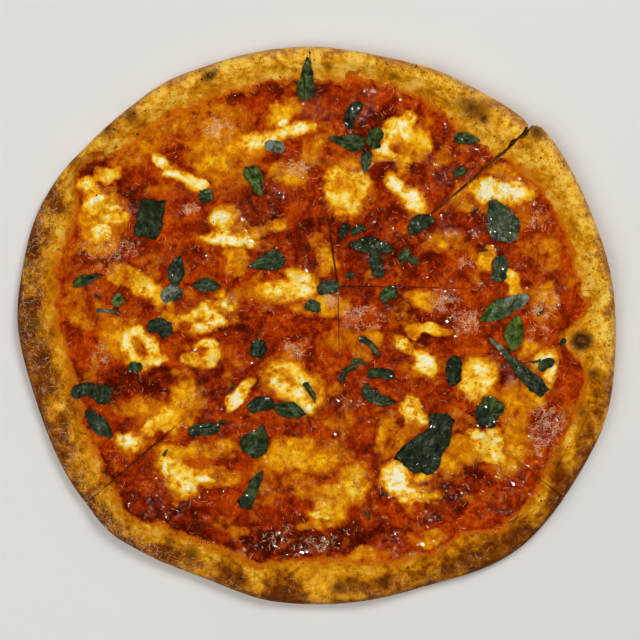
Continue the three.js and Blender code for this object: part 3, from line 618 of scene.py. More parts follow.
# Smaller bits of basil, all one piece.
BASIL_BITS = (
    Leaf(2, 27.2, 89.9, 13, 6.5, -95, 0, L.TIP, 0.4, 0.1),
    Leaf(1, 83.3, 103.1, 14.5, 7, -5, 0, L.TIP, 0.35, 0.15),
    Leaf(1, 78.9, 84.4, 7.2, 5.5, 20, 0, L.TORN, 0.3, 0.1),
    Leaf(2, 15.4, 52.3, 8.5, 4.8, 60, 0.5, L.TORN, 0.15, 0.1),
    Leaf(2, 22.8, 52.5, 9, 5, 20, 0.5, L.TORN, 0.2, 0.1),
    Leaf(2, 33.3, 32.7, 14.3, 7.7, 100, 0.5, L.TORN, 0.15, 0.1),
    Leaf(1, 48.7, 38.8, 8, 6, 40, 0, L.TORN, 0.3, 0.3),
    Leaf(1, 53.5, 36, 6, 5, -30, 0, L.TORN, 0.2, 0.2),
    Leaf(1, 19, 27.8, 5.5, 3.6, 0, 0, L.TIP, 0.1, 0.2),
    Leaf(8, 39.9, 17.3, 10.5, 7.7, 30, 0.5, L.TORN, 0.3, 0.1),
    Leaf(8, 126.3, -21.6, 9.5, 6.4, 30, 0.8, L.TORN, 0.35, 0.1),
    Leaf(8, 120, -19.8, 7.5, 1.8, 185, 0.5, L.STRIP, 0.1, 0.1),
    Leaf(7, 30, -11.5, 15.5, 4.4, -43, 0.8, L.STRIP, 0.2, 0.1),
    Leaf(7, 17.6, -25.6, 13, 4.6, 40, 2.4, L.STRIP, 0.15, 0.1),
    Leaf(7, 23.5, -20.5, 9, 4, -10, 1.6, L.STRIP, 0.2, 0.1),
    Leaf(7, 35.5, -26.7, 15.4, 6.6, -8, 0.4, L.TORN, 0.2, 0.15),
    Leaf(2, 6.3, 20.9, 12.5, 8, 10, 0.5, L.TORN, 0.15, 0.3),
    Leaf(6, -2, 10.5, 7, 9, 90, 0.4, L.TORN, 0.25, 0.2),
    Leaf(6, -32.2, -12.7, 11, 9.5, 70, 0, L.TORN, 0.1, 0.1),
    Leaf(6, -30.5, -43.7, 15, 9, 10, 0.6, L.TORN, 0.1, 0.1),
    Leaf(6, -3.3, -36.8, 12.5, 3.8, -60, 0.5, L.STRIP, 0.35, 0.1),
    Leaf(6, -62, -57.6, 18, 7.7, 5, 0.8, L.TORN, 0.1, 0.2),
    Leaf(6, -52, -53.6, 4, 3, 0, 0, L.TORN, 0.1, 0.1),
    Leaf(5, -129.3, -35.8, 13, 8, 15, 0.5, L.TORN, 0.1, 0.2),
    Leaf(5, -118.8, -37.7, 11, 11.5, 80, 0.5, L.TORN, 0.15, 0.15),
    Leaf(5, -99.8, -23.1, 8, 6.5, 0, 0, L.TORN, 0.3, 0.1),
    Leaf(5, -86.1, -1.4, 14.5, 10, -25, 1, L.TORN, 0.1, 0.15),
    Leaf(4, -77, 30.3, 17.5, 9.5, 80, 0.6, L.LEAF, 0.1, 0.2),
    Leaf(4, -80, 17.3, 12, 10.5, 5, 0.5, L.TORN, 0.1, 0.55),
    Leaf(4, -60.5, 22, 16, 8, -5, 0.6, L.LEAF, 0.15, 0.2),
    Leaf(4, -126, 25.6, 17.5, 6, 18, 0.5, L.TIP, 0.3, 0.15),
    Leaf(4, -109.2, 14, 7.5, 6, 50, 0, L.TORN, 0.8, 0.1),
    Leaf(4, -114.5, 7.5, 14.5, 2.6, -10, 0.6, L.STRIP, 0.2, 0.4),
    Leaf(4, -60.8, 71.2, 8.5, 7.5, 10, 0, L.TORN, 0.3, 0.1),
    Leaf(3, -33.6, 79.2, 18.5, 9.5, -70, 0.5, L.TIP, 0.6, 0.1),
    Leaf(3, -23, 98.5, 11.5, 6.5, -15, 0.4, L.TORN, 0.2, 0.6),
    Leaf(1, 61, 57, 8.5, 6.5, 50, 0.2, L.TORN, 0.1, 0.2),
    Leaf(7, 37.1, -93.2, 5, 2, 20, 0.3, L.STRIP, 0.2, 0),
    Leaf(7, 28.3, -104.8, 6, 2.2, -70, 0.3, L.STRIP, 0.2, 0),
    Leaf(5, -83.3, -70.1, 4.5, 2, 60, 0.2, L.STRIP, 0.1, 0),
    Leaf(5, -47, -34.4, 5, 2.2, 50, 0.3, L.STRIP, 0.3, 0),
    Leaf(1, 92.7, 41.5, 4, 2, 0, 0.2, L.STRIP, 0.2, 0),
    Leaf(1, 87.7, 63.5, 4.5, 2, 40, 0.2, L.STRIP, 0.1, 0),
    Leaf(8, 123.5, 6.9, 4.5, 2, 30, 0.2, L.STRIP, 0.1, 0.3),
    Leaf(8, 136.1, -9.1, 5, 3, 60, 0.2, L.TORN, 0.1, 0.1),
    Leaf(4, -120.7, 15.7, 4, 2, -40, 0.2, L.STRIP, 0.1, 0),
)


# ---- The visible surface ----

class Surface:
    """The top of the pizza with all its relief, for the pieces and for what lies on them."""

    SPREAD = 5.5

    def __init__(self, form: PizzaForm) -> None:
        """Keeps the form and makes the grains that its relief is read from."""
        self.form = form
        self.broad, self.fine, self.pulp, self.edge = (Grain(seed) for seed in (3, 5, 7, 11))

    def crust(self, x: Array, y: Array, number: Array | int = 0) -> Array:
        """Height of the crust: its form, lumps, bumps and fine roughness."""
        share = self.form.rim_share(x, y, number)
        raised = np.minimum(self.form.rise(share) / 0.35, 1.0)
        lumps = 0.8 * self.broad.layered(x, y, 12.0, 2)
        bumps = 0.3 * self.fine.layered(x, y, 4.2, 3)
        pits = -0.35 * smooth_step(0.35, 0.9, self.pulp.layered(x + 40, y, 2.2, 2))
        return self.form.crust(x, y, number) + raised * (lumps + bumps + pits)

    def shaped(self, x: Array, y: Array) -> tuple[Array, Array]:
        """Places shifted so that melted edges run unevenly."""
        u, v = self.edge.shifted(x, y, 7.0, 1.1)
        return self.fine.shifted(u, v, 2.4, 0.5)

    def creaminess(self, patch: CheesePatch, x: Array, y: Array) -> Array:
        """How much of a lump covers each place: orange past its edge, yellow on it, up to its cream inside."""
        away = np.sqrt(np.maximum(1.0 - patch.rest(*self.shaped(x, y)), 0.0))
        away = away + 0.15 * self.broad.layered(x, y, 6.0, 3)
        levels = ((0.0, patch.cream), (0.42, patch.cream - 0.05), (0.66, 0.8), (0.84, 0.68), (1.0, 0.54), (1.2, 0.37),
                  (1.6, 0.2), (2.1, 0.0))
        inside = smooth_step(1.2, 0.8, away)
        runny = np.exp(0.9 * self.edge.layered(x + 47, y - 31, 13.0, 2))
        away = np.where(away > 0.85, 0.85 + (away - 0.85) * (0.5 + runny), away)
        browned = patch_strength(BROWNED, *self.fine.shifted(x, y, 3.0, 1.0))
        holes = patch.broken * smooth_step(-0.1, 0.7, self.pulp.layered(x, y + 27, 6.5, 3))
        uneven = 0.16 * self.fine.layered(x + 9, y, 4.4, 3) - holes
        return smooth_curve(levels, away) + (uneven - browned) * inside

    def cover(self, x: Array, y: Array) -> Array:
        """How much melted cheese covers each place, from 0, bare sauce, to 1, white cheese."""
        u, v = self.edge.shifted(x, y, 9.0, 3.2)
        u, v = self.fine.shifted(u, v, 3.2, 0.8)
        film = patch_strength(MELT, u, v)
        film = film * (1 + 0.3 * self.broad.layered(x - 37, y, 7.0, 3))
        for patch in MOZZARELLA:
            near = patch.rest(x, y) > -5.0
            film[near] = np.maximum(film[near], self.creaminess(patch, x[near], y[near]))
        stray = 0.34 * smooth_step(0.05, 0.8, self.broad.layered(x + 71, y, 12.0, 3))
        streaks = 0.1 * self.fine.layered(x, y, 3.6, 3)
        return np.clip(np.maximum(film, stray) + streaks * smooth_step(0.0, 0.3, film), 0.0, 1.0)

    def deep(self, x: Array, y: Array) -> Array:
        """How dark and bare the sauce is, from 0 to 1."""
        u, v = self.edge.shifted(x + 31, y, 10.0, 4.0)
        return np.clip(patch_strength(DEEP, u, v) * (1 + 0.5 * self.pulp.layered(x, y, 4.5, 3)), 0.0, 1.0)

    def sauce_share(self, x: Array, y: Array, number: Array | int = 0) -> Array:
        """1 where the sauce has its full depth, 0 at its edge and below 0 past it, on the rim's slope."""
        angle = np.degrees(np.arctan2(y, x))
        foot = self.form.outline(angle, number) - self.form.rim(angle)
        ragged = 1.0 + 2.4 * self.edge.layered(x, y, 12.0, 2) + 1.1 * self.fine.layered(x, y, 3.0, 2)
        return np.clip((foot + ragged - np.hypot(x, y)) / self.SPREAD, -0.4, 1.0)

    def clumps(self, x: Array, y: Array) -> Array:
        """Where the pulp stands out of the sauce, wet and uneven, from 0 to 1."""
        return smooth_step(-0.1, 0.75, self.edge.layered(x + 19, y, 15.0, 3) + 0.1 * y / self.form.half_width)

    def sauce(self, x: Array, y: Array, number: Array | int = 0) -> Array:
        """Height of the sauce: pulpy where it is bare, smoother and fuller under melted cheese."""
        share = self.sauce_share(x, y, number)
        depth = self.form.sauce_top - self.form.base_height
        melt = smooth_step(0.1, 0.7, self.cover(x, y))
        clumps = self.clumps(x, y)
        pulp = 0.17 * self.pulp.layered(x, y, 3.0, 2) * (0.4 + 0.6 * clumps) + 0.14 * self.fine.plain(x, y, 1.4) * clumps
        lumps = 0.3 * self.broad.layered(x, y, 8.0, 2) + 0.35 * smooth_step(0.2, 0.8, self.fine.layered(x + 13, y - 7, 5.0, 2))
        relief = (pulp + lumps) * (1 - 0.45 * melt) + 0.35 * melt
        filled = np.where(share > 0, smooth_step(0.0, 1.0, share), 0.6 * share)
        return self.form.crust(x, y, number) + depth * filled + np.maximum(share, 0) * relief

    def lump(self, patch: CheesePatch, x: Array, y: Array) -> Array:
        """Height of a lump of mozzarella; past its edge it runs down into the sauce."""
        rest = patch.rest(*self.shaped(x, y))
        full = 1.3 * smooth_step(-0.25, 0.95, rest)
        ripple = 0.34 * self.broad.layered(x, y, 6.0, 2) + 0.08 * self.fine.layered(x, y, 2.8, 2)
        return self.form.sauce_top + 0.1 + full + ripple + 1.4 * np.minimum(rest + 0.05, 0.0)

    def top(self, x: Array, y: Array, number: Array | None = None) -> Array:
        """Height of whatever shows at each place: crust, sauce or mozzarella."""
        slices = slice_at(x, y, self.form) if number is None else number
        height = np.maximum(self.crust(x, y, slices), self.sauce(x, y, slices))
        for patch in MOZZARELLA:
            near = patch.rest(x, y) > -0.6
            if near.any():
                lump = self.lump(patch, x[near], y[near])
                height[near] = np.maximum(height[near], lump)
        return height


# ---- Meshes ----

def coordinates(mesh: bpy.types.Mesh) -> Array:
    """The mesh's points in millimetres, one a row."""
    flat = np.empty(len(mesh.vertices) * 3)
    mesh.vertices.foreach_get("co", flat)
    return flat.reshape(-1, 3) / MM


def set_coordinates(mesh: bpy.types.Mesh, points: Array) -> None:
    """Moves the mesh's points to places given in millimetres."""
    mesh.vertices.foreach_set("co", (points * MM).ravel())
    mesh.update()


def set_values(mesh: bpy.types.Mesh, name: str, values: Array) -> None:
    """Stores a value for each point, for a material to read."""
    mesh.attributes.new(name, "FLOAT", "POINT").data.foreach_set("value", values.astype(np.float32))


def grid(steps_u: int, steps_v: int) -> tuple[bpy.types.Mesh, Array, Array]:
    """A flat grid, with each point's place in it from 0 to 1 both ways."""
    mesh = bpy.data.meshes.new("grid")
    shape = bmesh.new()
    bmesh.ops.create_grid(shape, x_segments=steps_u, y_segments=steps_v, size=0.5 * MM)
    shape.to_mesh(mesh)
    shape.free()
    u, v, _ = (coordinates(mesh) + 0.5).T
    return mesh, np.clip(u, 0, 1), np.clip(v, 0, 1)


def close_downwards(mesh: bpy.types.Mesh, wall: Callable[[Array, float], Array], steps: int,
                    sharp: Callable[[Array], Array] | None = None,
                    trims: Sequence[tuple] = (), drop: Callable[[Array], Array] | None = None) -> None:
    """Closes an open top into a solid with a wall along its border and a flat bottom.

    Args:
        mesh: The top, which becomes the solid.
        wall: Gives the border's points a share of the way down, from the points on top.
        steps: How many bands the wall has.
        sharp: Tells for points on top whether the border's edges are sharp there.
        trims: Sides to cut off first, each a point and an outward direction in the plane.
        drop: Tells for points on top which of them to leave out.
    """
    shape = bmesh.new()
    shape.from_mesh(mesh)
    if drop is not None:
        gone = drop(coordinates(mesh))
        bmesh.ops.delete(shape, geom=[v for v, out in zip(shape.verts, gone) if out], context="VERTS")
    for (px, py), (nx, ny) in trims:
        bmesh.ops.bisect_plane(
            shape, geom=[*shape.verts, *shape.edges, *shape.faces], plane_co=(px * MM, py * MM, 0),
            plane_no=(nx, ny, 0), clear_outer=True)
    border = [edge for edge in shape.edges if edge.is_boundary]
    if sharp is not None:
        middles = np.array([[*((e.verts[0].co + e.verts[1].co) / 2)] for e in border]) / MM
        for edge, is_sharp in zip(border, sharp(middles)):
            edge.smooth = not is_sharp
    start = {}
    for band in range(1, steps + 1):
        grown = bmesh.ops.extrude_edge_only(shape, edges=border)["geom"]
        verts = [item for item in grown if isinstance(item, bmesh.types.BMVert)]
        if band == 1:
            start = np.array([[*v.co] for v in verts]) / MM
            order = np.arange(len(verts))
        else:
            linked = {v: e.other_vert(v) for v in verts for e in v.link_edges if e.other_vert(v) in index}
            order = np.array([index[linked[v]] for v in verts])
        index = {v: order[i] for i, v in enumerate(verts)}
        for vert, place in zip(verts, wall(start[order], band / steps) * MM):
            vert.co = place
        border = [item for item in grown if isinstance(item, bmesh.types.BMEdge)]
    bmesh.ops.holes_fill(shape, edges=border, sides=0)
    bmesh.ops.recalc_face_normals(shape, faces=shape.faces)
    for face in shape.faces:
        face.smooth = True
    shape.to_mesh(mesh)
    shape.free()


def finish_piece(name: str, mesh: bpy.types.Mesh, material: bpy.types.Material,
                 nodes: Sequence[str] = ()) -> bpy.types.Object:
    """Makes a piece from a mesh, dresses it and lets it ride on the pizza's body.

    Args:
        name: The piece's name.
        mesh: Its finished mesh.
        material: Its finish.
        nodes: The solids that it stands for.

    Returns:
        The piece.
    """
    mesh.name = name
    piece = bpy.data.objects.new(name, mesh)
    bpy.context.scene.collection.objects.link(piece)
    mesh.materials.append(material)
    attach(piece, BODY)
    if nodes:
        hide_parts(*nodes)
    log.info("%s: %d faces", name, len(mesh.polygons))
    return piece


# ---- Finishes ----

def srgb(red: float, green: float, blue: float) -> tuple[float, float, float, float]:
    """A colour given from 0 to 255 as it looks on a screen, in the linear values that shaders take."""
    values = np.array([red, green, blue]) / 255.0
    linear = np.where(values <= 0.04045, values / 12.92, ((values + 0.055) / 1.055) ** 2.4)
    return (*linear.tolist(), 1.0)


class Graph:
    """The nodes of a material or a group, wired up as they are added."""

    def __init__(self, tree: bpy.types.NodeTree) -> None:
        """Keeps the tree that the nodes go in."""
        self.tree = tree

    def node(self, kind: str, inputs: dict | None = None, **settings) -> bpy.types.Node:
        """Adds a node.

        Args:
            kind: The node's type.
            inputs: A value or an output socket for each input, by name or number.
            **settings: The node's own settings.

        Returns:
            The node.
        """
        node = self.tree.nodes.new(kind)
        for name, value in settings.items():
            setattr(node, name, value)
        for key, value in (inputs or {}).items():
            if isinstance(value, bpy.types.NodeSocket):
                self.tree.links.new(value, node.inputs[key])
            else:
                node.inputs[key].default_value = value
        return node

    def noise(self, vector, scale: float, detail: float = 3.0, rough: float = 0.6, distort: float = 0.0):
        """A noise value from 0 to 1; scale is bumps a metre."""
        inputs = {"Vector": vector, "Scale": scale, "Detail": detail, "Roughness": rough, "Distortion": distort}
        return self.node("ShaderNodeTexNoise", inputs).outputs[0]

    def cells(self, vector, scale: float):
        """Distance to the nearest of scattered points; scale is points a metre."""
        return self.node("ShaderNodeTexVoronoi", {"Vector": vector, "Scale": scale}).outputs["Distance"]

    def math(self, operation: str, a, b=0.0, clamp: bool = False):
        """One sum, product or other operation on two values."""
        return self.node("ShaderNodeMath", {0: a, 1: b}, operation=operation, use_clamp=clamp).outputs[0]

    def span(self, value, low: float, high: float, to_low: float = 0.0, to_high: float = 1.0):
        """Maps a value smoothly from one span to another, and keeps it in there."""
        inputs = {"Value": value, "From Min": low, "From Max": high, "To Min": to_low, "To Max": to_high}
        return self.node("ShaderNodeMapRange", inputs, interpolation_type="SMOOTHSTEP").outputs[0]

    def mix(self, share, first, second, blend: str = "MIX"):
        """Mixes two colours."""
        node = self.node("ShaderNodeMix", data_type="RGBA", blend_type=blend)
        for index, value in ((0, share), (6, first), (7, second)):
            if isinstance(value, bpy.types.NodeSocket):
                self.tree.links.new(value, node.inputs[index])
            else:
                node.inputs[index].default_value = value
        return node.outputs[2]

    def ramp(self, value, stops: Sequence[tuple[float, tuple]]):
        """Colours by value through a few stops."""
        node = self.node("ShaderNodeValToRGB", {"Fac": value})
        elements = node.color_ramp.elements
        while len(elements) < len(stops):
            elements.new(1.0)
        for element, (place, colour) in zip(elements, stops):
            element.position, element.color = place, colour
        return node.outputs[0]

    def attribute(self, name: str):
        """A value stored on the mesh."""
        return self.node("ShaderNodeAttribute", attribute_name=name).outputs["Fac"]

    def place(self):
        """Object coordinates."""
        return self.node("ShaderNodeTexCoord").outputs["Object"]

    def group(self, tree: bpy.types.NodeTree, **inputs):
        """A shared effect with its own values."""
        node = self.node("ShaderNodeGroup", node_tree=tree)
        for name, value in inputs.items():
            if isinstance(value, bpy.types.NodeSocket):
                self.tree.links.new(value, node.inputs[name])
            else:
                node.inputs[name].default_value = value
        return node.outputs[0]

    def bump(self, height, strength: float, distance: float):
        """A normal bent by a height; distance is how high 1 is, in millimetres."""
        inputs = {"Strength": strength, "Distance": distance * MM, "Height": height}
        return self.node("ShaderNodeBump", inputs).outputs[0]

    def shader(self, colour, roughness, normal, **plain) -> None:
        """The shader and the material's output.

        Args:
            colour: Colour over the surface.
            roughness: Roughness over the surface.
            normal: Bent normal.
            **plain: Values of the shader's other sockets, with _ for a space.
        """
        inputs = {"Base Color": colour, "Roughness": roughness, "Normal": normal}
        inputs.update({name.replace("_", " "): value for name, value in plain.items()})
        shader = self.node("ShaderNodeBsdfPrincipled", inputs)
        self.node("ShaderNodeOutputMaterial", {"Surface": shader.outputs[0]})


def new_material(name: str) -> tuple[bpy.types.Material, Graph]:
    """An empty material and its graph."""
    material = bpy.data.materials.new(name)
    material.use_nodes = True
    material.node_tree.nodes.clear()
    return material, Graph(material.node_tree)


def new_effect(name: str, numbers: Sequence[str], output: str) -> tuple[bpy.types.NodeTree, Graph, bpy.types.Node]:
    """An empty group with a Vector input, number inputs and one output.

    Args:
        name: The effect's name.
        numbers: Names of its number inputs.
        output: Name of its output.

    Returns:
        The group, its graph and its input node.
    """
    tree = bpy.data.node_groups.new(name, "ShaderNodeTree")
    tree.interface.new_socket("Vector", in_out="INPUT", socket_type="NodeSocketVector")
    for number in numbers:
        tree.interface.new_socket(number, in_out="INPUT", socket_type="NodeSocketFloat")
    tree.interface.new_socket(output, in_out="OUTPUT", socket_type="NodeSocketFloat")
    graph = Graph(tree)
    return tree, graph, graph.node("NodeGroupInput")


class Effects:
    """Effects that several finishes share."""

    def __init__(self) -> None:
        """Builds each group once."""
        self.mottle = self.build_mottle()
        self.specks = self.build_specks()
        self.roughness = self.build_roughness()
        self.threads = self.build_threads()

    @staticmethod
    def build_mottle() -> bpy.types.NodeTree:
        """Uneven patches of two sizes, from 0 to 1."""
        tree, graph, given = new_effect("mottle", ["Scale"], "Value")
        place, scale = given.outputs["Vector"], given.outputs["Scale"]
        broad = graph.noise(place, scale, 3.0, 0.55, 0.7)
        close = graph.noise(place, graph.math("MULTIPLY", scale, 3.9), 4.0, 0.65, 0.4)
        value = graph.math("ADD", graph.math("MULTIPLY", broad, 0.6), graph.math("MULTIPLY", close, 0.4))
        graph.node("NodeGroupOutput", {"Value": graph.span(value, 0.34, 0.66)})
        return tree

    @staticmethod
    def build_specks() -> bpy.types.NodeTree:
        """Scattered ragged specks; Amount is how much they cover, from 0 to 1."""
        tree, graph, given = new_effect("specks", ["Scale", "Amount"], "Mask")
        place, scale, amount = (given.outputs[name] for name in ("Vector", "Scale", "Amount"))
        fine = graph.noise(place, scale, 2.5, 0.6, 0.3)
        clusters = graph.noise(place, graph.math("MULTIPLY", scale, 0.28), 2.0, 0.5, 0.5)
        value = graph.math("ADD", graph.math("MULTIPLY", fine, 0.72), graph.math("MULTIPLY", clusters, 0.28))
        edge = graph.math("SUBTRACT", 0.7, graph.math("MULTIPLY", amount, 0.34))
        above = graph.math("SUBTRACT", value, edge)
        graph.node("NodeGroupOutput", {"Mask": graph.span(above, 0.0, 0.05)})
        return tree

    @staticmethod
    def build_roughness() -> bpy.types.NodeTree:
        """Fine relief of two sizes, as a height from 0 to 1."""
        tree, graph, given = new_effect("fine_relief", ["Scale"], "Height")
        place, scale = given.outputs["Vector"], given.outputs["Scale"]
        grains = graph.noise(place, scale, 4.0, 0.6, 0.2)
        pores = graph.cells(place, graph.math("MULTIPLY", scale, 0.6))
        height = graph.math("ADD", graph.math("MULTIPLY", grains, 0.7), graph.math("MULTIPLY", pores, 0.5))
        graph.node("NodeGroupOutput", {"Height": height})
        return tree


    @staticmethod
    def build_threads() -> bpy.types.NodeTree:
        """Fine crossing threads; Amount is how strong they are, from 0 to 1."""
        tree, graph, given = new_effect("threads", ["Scale", "Amount"], "Mask")
        place, scale, amount = (given.outputs[name] for name in ("Vector", "Scale", "Amount"))
        offset = graph.math("ABSOLUTE", graph.math("SUBTRACT", graph.noise(place, scale, 3.0, 0.6, 0.9), 0.5))
        present = graph.span(graph.noise(place, graph.math("MULTIPLY", scale, 0.5), 2.0), 0.42, 0.6)
        mask = graph.math("MULTIPLY", graph.span(offset, 0.03, 0.008), present)
        graph.node("NodeGroupOutput", {"Mask": graph.math("MULTIPLY", mask, amount)})
        return tree


@dataclass(frozen=True)
class BakedCrustFinish:
    """Golden baked dough with brown freckles, charred blisters and a floury outer edge."""

    crumb: tuple = ((0.0, srgb(84, 34, 0)), (0.2, srgb(128, 62, 1)), (0.4, srgb(172, 99, 5)), (0.6, srgb(212, 138, 10)),
                    (0.8, srgb(238, 168, 26)), (1.0, srgb(251, 204, 80)))
    floury: tuple = ((0.0, srgb(84, 38, 6)), (0.3, srgb(142, 80, 22)), (0.6, srgb(192, 126, 54)),
                     (1.0, srgb(234, 180, 104)))
    brown: tuple = srgb(112, 50, 4)
    freckle: tuple = srgb(60, 28, 6)
    thread: tuple = srgb(240, 208, 168)
    char_ring_and_cut_shade: tuple = srgb(134, 80, 12)
    char_and_cut_shade: tuple = srgb(44, 22, 8)
    core: tuple = srgb(132, 72, 36)
    stain: tuple = srgb(192, 100, 2)

    def build(self, effects: Effects) -> bpy.types.Material:
        """Makes the material; the mesh stores edge, browning_and_shade (browning with painted shade), freckles,
        char_and_cut_shade (scorch, with painted shade in the cuts), stain and dust.
        """
        material, graph = new_material("baked_crust")
        place = graph.place()
        mottle = graph.group(effects.mottle, Vector=place, Scale=75.0)
        close = graph.group(effects.mottle, Vector=place, Scale=240.0)
        tone = graph.math("ADD", graph.math("MULTIPLY", mottle, 0.62), graph.math("MULTIPLY", close, 0.34))
        # browning_and_shade darkens the tone: real browning, with painted shade on the sides away from the light.
        browned = graph.math("MULTIPLY", graph.attribute("browning_and_shade"), 0.6)
        tone = graph.math("SUBTRACT", graph.math("ADD", tone, 0.3), browned)
        edge = graph.attribute("edge")
        inner = graph.ramp(tone, self.crumb)
        outer = graph.ramp(tone, self.floury)
        ragged = graph.math("ADD", edge, graph.math("MULTIPLY", graph.math("SUBTRACT", mottle, 0.5), 0.4))
        colour = graph.mix(graph.span(ragged, 0.0, 0.3), outer, inner)
        # The brown patches follow browning_and_shade too, so they carry part of its painted shade.
        patchy = graph.span(graph.attribute("browning_and_shade"), 0.35, 1.0)
        colour = graph.mix(graph.math("MULTIPLY", patchy, graph.span(close, 0.0, 0.8, 0.15, 0.75)), colour, self.brown)
        stained = graph.math("MULTIPLY", graph.attribute("stain"), graph.span(close, 0.1, 0.8, 0.5, 1.0))
        colour = graph.mix(stained, colour, self.stain)
        # The char colours paint scorched spots, and painted shade on the walls down inside the cuts.
        char_and_cut_shade = graph.attribute("char_and_cut_shade")
        uneven = graph.math("ADD", char_and_cut_shade, graph.math("MULTIPLY", graph.math("SUBTRACT", close, 0.5), 0.2))
        colour = graph.mix(graph.span(uneven, 0.0, 0.5, 0.0, 0.85), colour, self.char_ring_and_cut_shade)
        colour = graph.mix(graph.span(uneven, 0.35, 0.85, 0.0, 0.9), colour, self.char_and_cut_shade)
        colour = graph.mix(graph.span(uneven, 0.8, 1.1, 0.0, 0.9), colour, self.core)
        freckles = graph.attribute("freckles")
        coarse = graph.group(effects.specks, Vector=place, Scale=560.0, Amount=freckles)
        small = graph.group(effects.specks, Vector=place, Scale=1300.0, Amount=freckles)
        colour = graph.mix(graph.math("MULTIPLY", coarse, 0.6), colour, self.freckle)
        colour = graph.mix(graph.math("MULTIPLY", small, 0.55), colour, self.freckle)
        dusted = graph.math("MULTIPLY", graph.attribute("dust"), graph.span(mottle, 0.1, 0.7, 0.5, 1.0))
        threads = graph.group(effects.threads, Vector=place, Scale=280.0, Amount=dusted)
        colour = graph.mix(graph.math("MULTIPLY", threads, 0.42), colour, self.thread)
        relief = graph.group(effects.roughness, Vector=place, Scale=600.0)
        normal = graph.bump(relief, 0.9, 0.8)
        rough = graph.span(mottle, 0.0, 1.0, 0.45, 0.7)
        graph.shader(colour, rough, normal, Specular_IOR_Level=0.01)
        return material


@dataclass(frozen=True)
class ToppingColours:
    """Cooked tomato, mottled deep red to orange, under melted cheese from an orange film to cream."""

    sauce: tuple = ((0.0, srgb(70, 12, 0)), (0.22, srgb(102, 20, 0)), (0.45, srgb(140, 34, 0)),
                    (0.7, srgb(176, 57, 0)), (1.0, srgb(214, 94, 4)))
    cheese: tuple = ((0.16, srgb(166, 64, 1)), (0.32, srgb(186, 86, 2)), (0.46, srgb(208, 118, 5)),
                     (0.58, srgb(240, 162, 8)), (0.7, srgb(250, 194, 34)), (0.84, srgb(251, 221, 106)),
                     (1.0, srgb(252, 240, 200)))
    shred: tuple = srgb(222, 128, 62)
    thin: tuple = srgb(190, 98, 10)

    def build(self, effects: Effects) -> bpy.types.NodeTree:
        """Makes the group that colours both the sauce and the mozzarella, so that they run together."""
        tree = bpy.data.node_groups.new("topping_colour", "ShaderNodeTree")
        tree.interface.new_socket("Vector", in_out="INPUT", socket_type="NodeSocketVector")
        for name in ("Cover", "Deep", "Shreds", "Thin"):
            tree.interface.new_socket(name, in_out="INPUT", socket_type="NodeSocketFloat")
        tree.interface.new_socket("Color", in_out="OUTPUT", socket_type="NodeSocketColor")
        graph = Graph(tree)
        given = graph.node("NodeGroupInput").outputs
        place = given["Vector"]
        mottle = graph.group(effects.mottle, Vector=place, Scale=105.0)
        close = graph.group(effects.mottle, Vector=place, Scale=380.0)
        tone = graph.math("ADD", graph.math("MULTIPLY", mottle, 0.66), graph.math("MULTIPLY", close, 0.27))
        pulp = graph.math("MULTIPLY", graph.noise(place, 800.0, 1.0, 0.5, 0.6), 0.3)
        tone = graph.math("ADD", tone, graph.math("SUBTRACT", pulp, graph.math("MULTIPLY", given["Deep"], 0.4)))
        colour = graph.ramp(graph.math("SUBTRACT", tone, 0.06), self.sauce)
        swirl = graph.math("MULTIPLY", graph.math("SUBTRACT", close, 0.5), 0.16)
        patchy = graph.math("MULTIPLY", graph.math("SUBTRACT", mottle, 0.5), 0.16)
        craters = graph.group(effects.specks, Vector=place, Scale=230.0, Amount=0.52)
        craters = graph.math("MULTIPLY", craters, graph.span(given["Cover"], 0.5, 0.8, 0.0, 0.26))
        uneven = graph.math("SUBTRACT", graph.math("ADD", swirl, patchy), craters)
        cover = graph.math("ADD", given["Cover"], uneven)
        colour = graph.mix(graph.span(cover, 0.1, 0.4), colour, graph.ramp(cover, self.cheese))
        thin = graph.math("ADD", given["Thin"], graph.math("MULTIPLY", graph.math("SUBTRACT", close, 0.5), 0.4))
        colour = graph.mix(graph.span(thin, 0.4, 1.0), colour, self.thin)
        shreds = graph.group(effects.threads, Vector=place, Scale=420.0, Amount=given["Shreds"])
        colour = graph.mix(graph.math("MULTIPLY", shreds, 0.6), colour, self.shred)
        graph.node("NodeGroupOutput", {"Color": colour})
        return tree

    def on(self, graph: Graph, tree: bpy.types.NodeTree, place: bpy.types.NodeSocket) -> bpy.types.NodeSocket:
        """Places the group in a material, fed by what the mesh stores."""
        values = {name: graph.attribute(name.lower()) for name in ("Cover", "Deep", "Shreds", "Thin")}
        return graph.group(tree, Vector=place, **values)


@dataclass(frozen=True)
class TomatoSauceFinish:
    """Pulpy sauce, wet and oily."""

    def build(self, effects: Effects, colours: bpy.types.NodeTree) -> bpy.types.Material:
        """Makes the material; the mesh stores cover, deep, shreds, thin and wet."""
        material, graph = new_material("tomato_sauce")
        place = graph.place()
        colour = ToppingColours().on(graph, colours, place)
        close = graph.group(effects.mottle, Vector=place, Scale=260.0)
        wet = graph.math("MULTIPLY", graph.attribute("wet"), graph.span(close, 0.4, 0.85, 0.25, 1.0))
        drops = graph.group(effects.specks, Vector=place, Scale=900.0, Amount=graph.span(wet, 0.0, 0.9, 0.1, 0.46))
        pulp = graph.math("MULTIPLY", graph.noise(place, 560.0, 1.5, 0.5, 0.8), wet)
        normal = graph.bump(pulp, 1.0, 0.8)
        graph.shader(colour, graph.span(wet, 0.0, 0.6, 0.36, 0.28), normal, Specular_IOR_Level=0.0,
                     Coat_Weight=drops, Coat_Roughness=0.2, Coat_IOR=2.4)
        return material


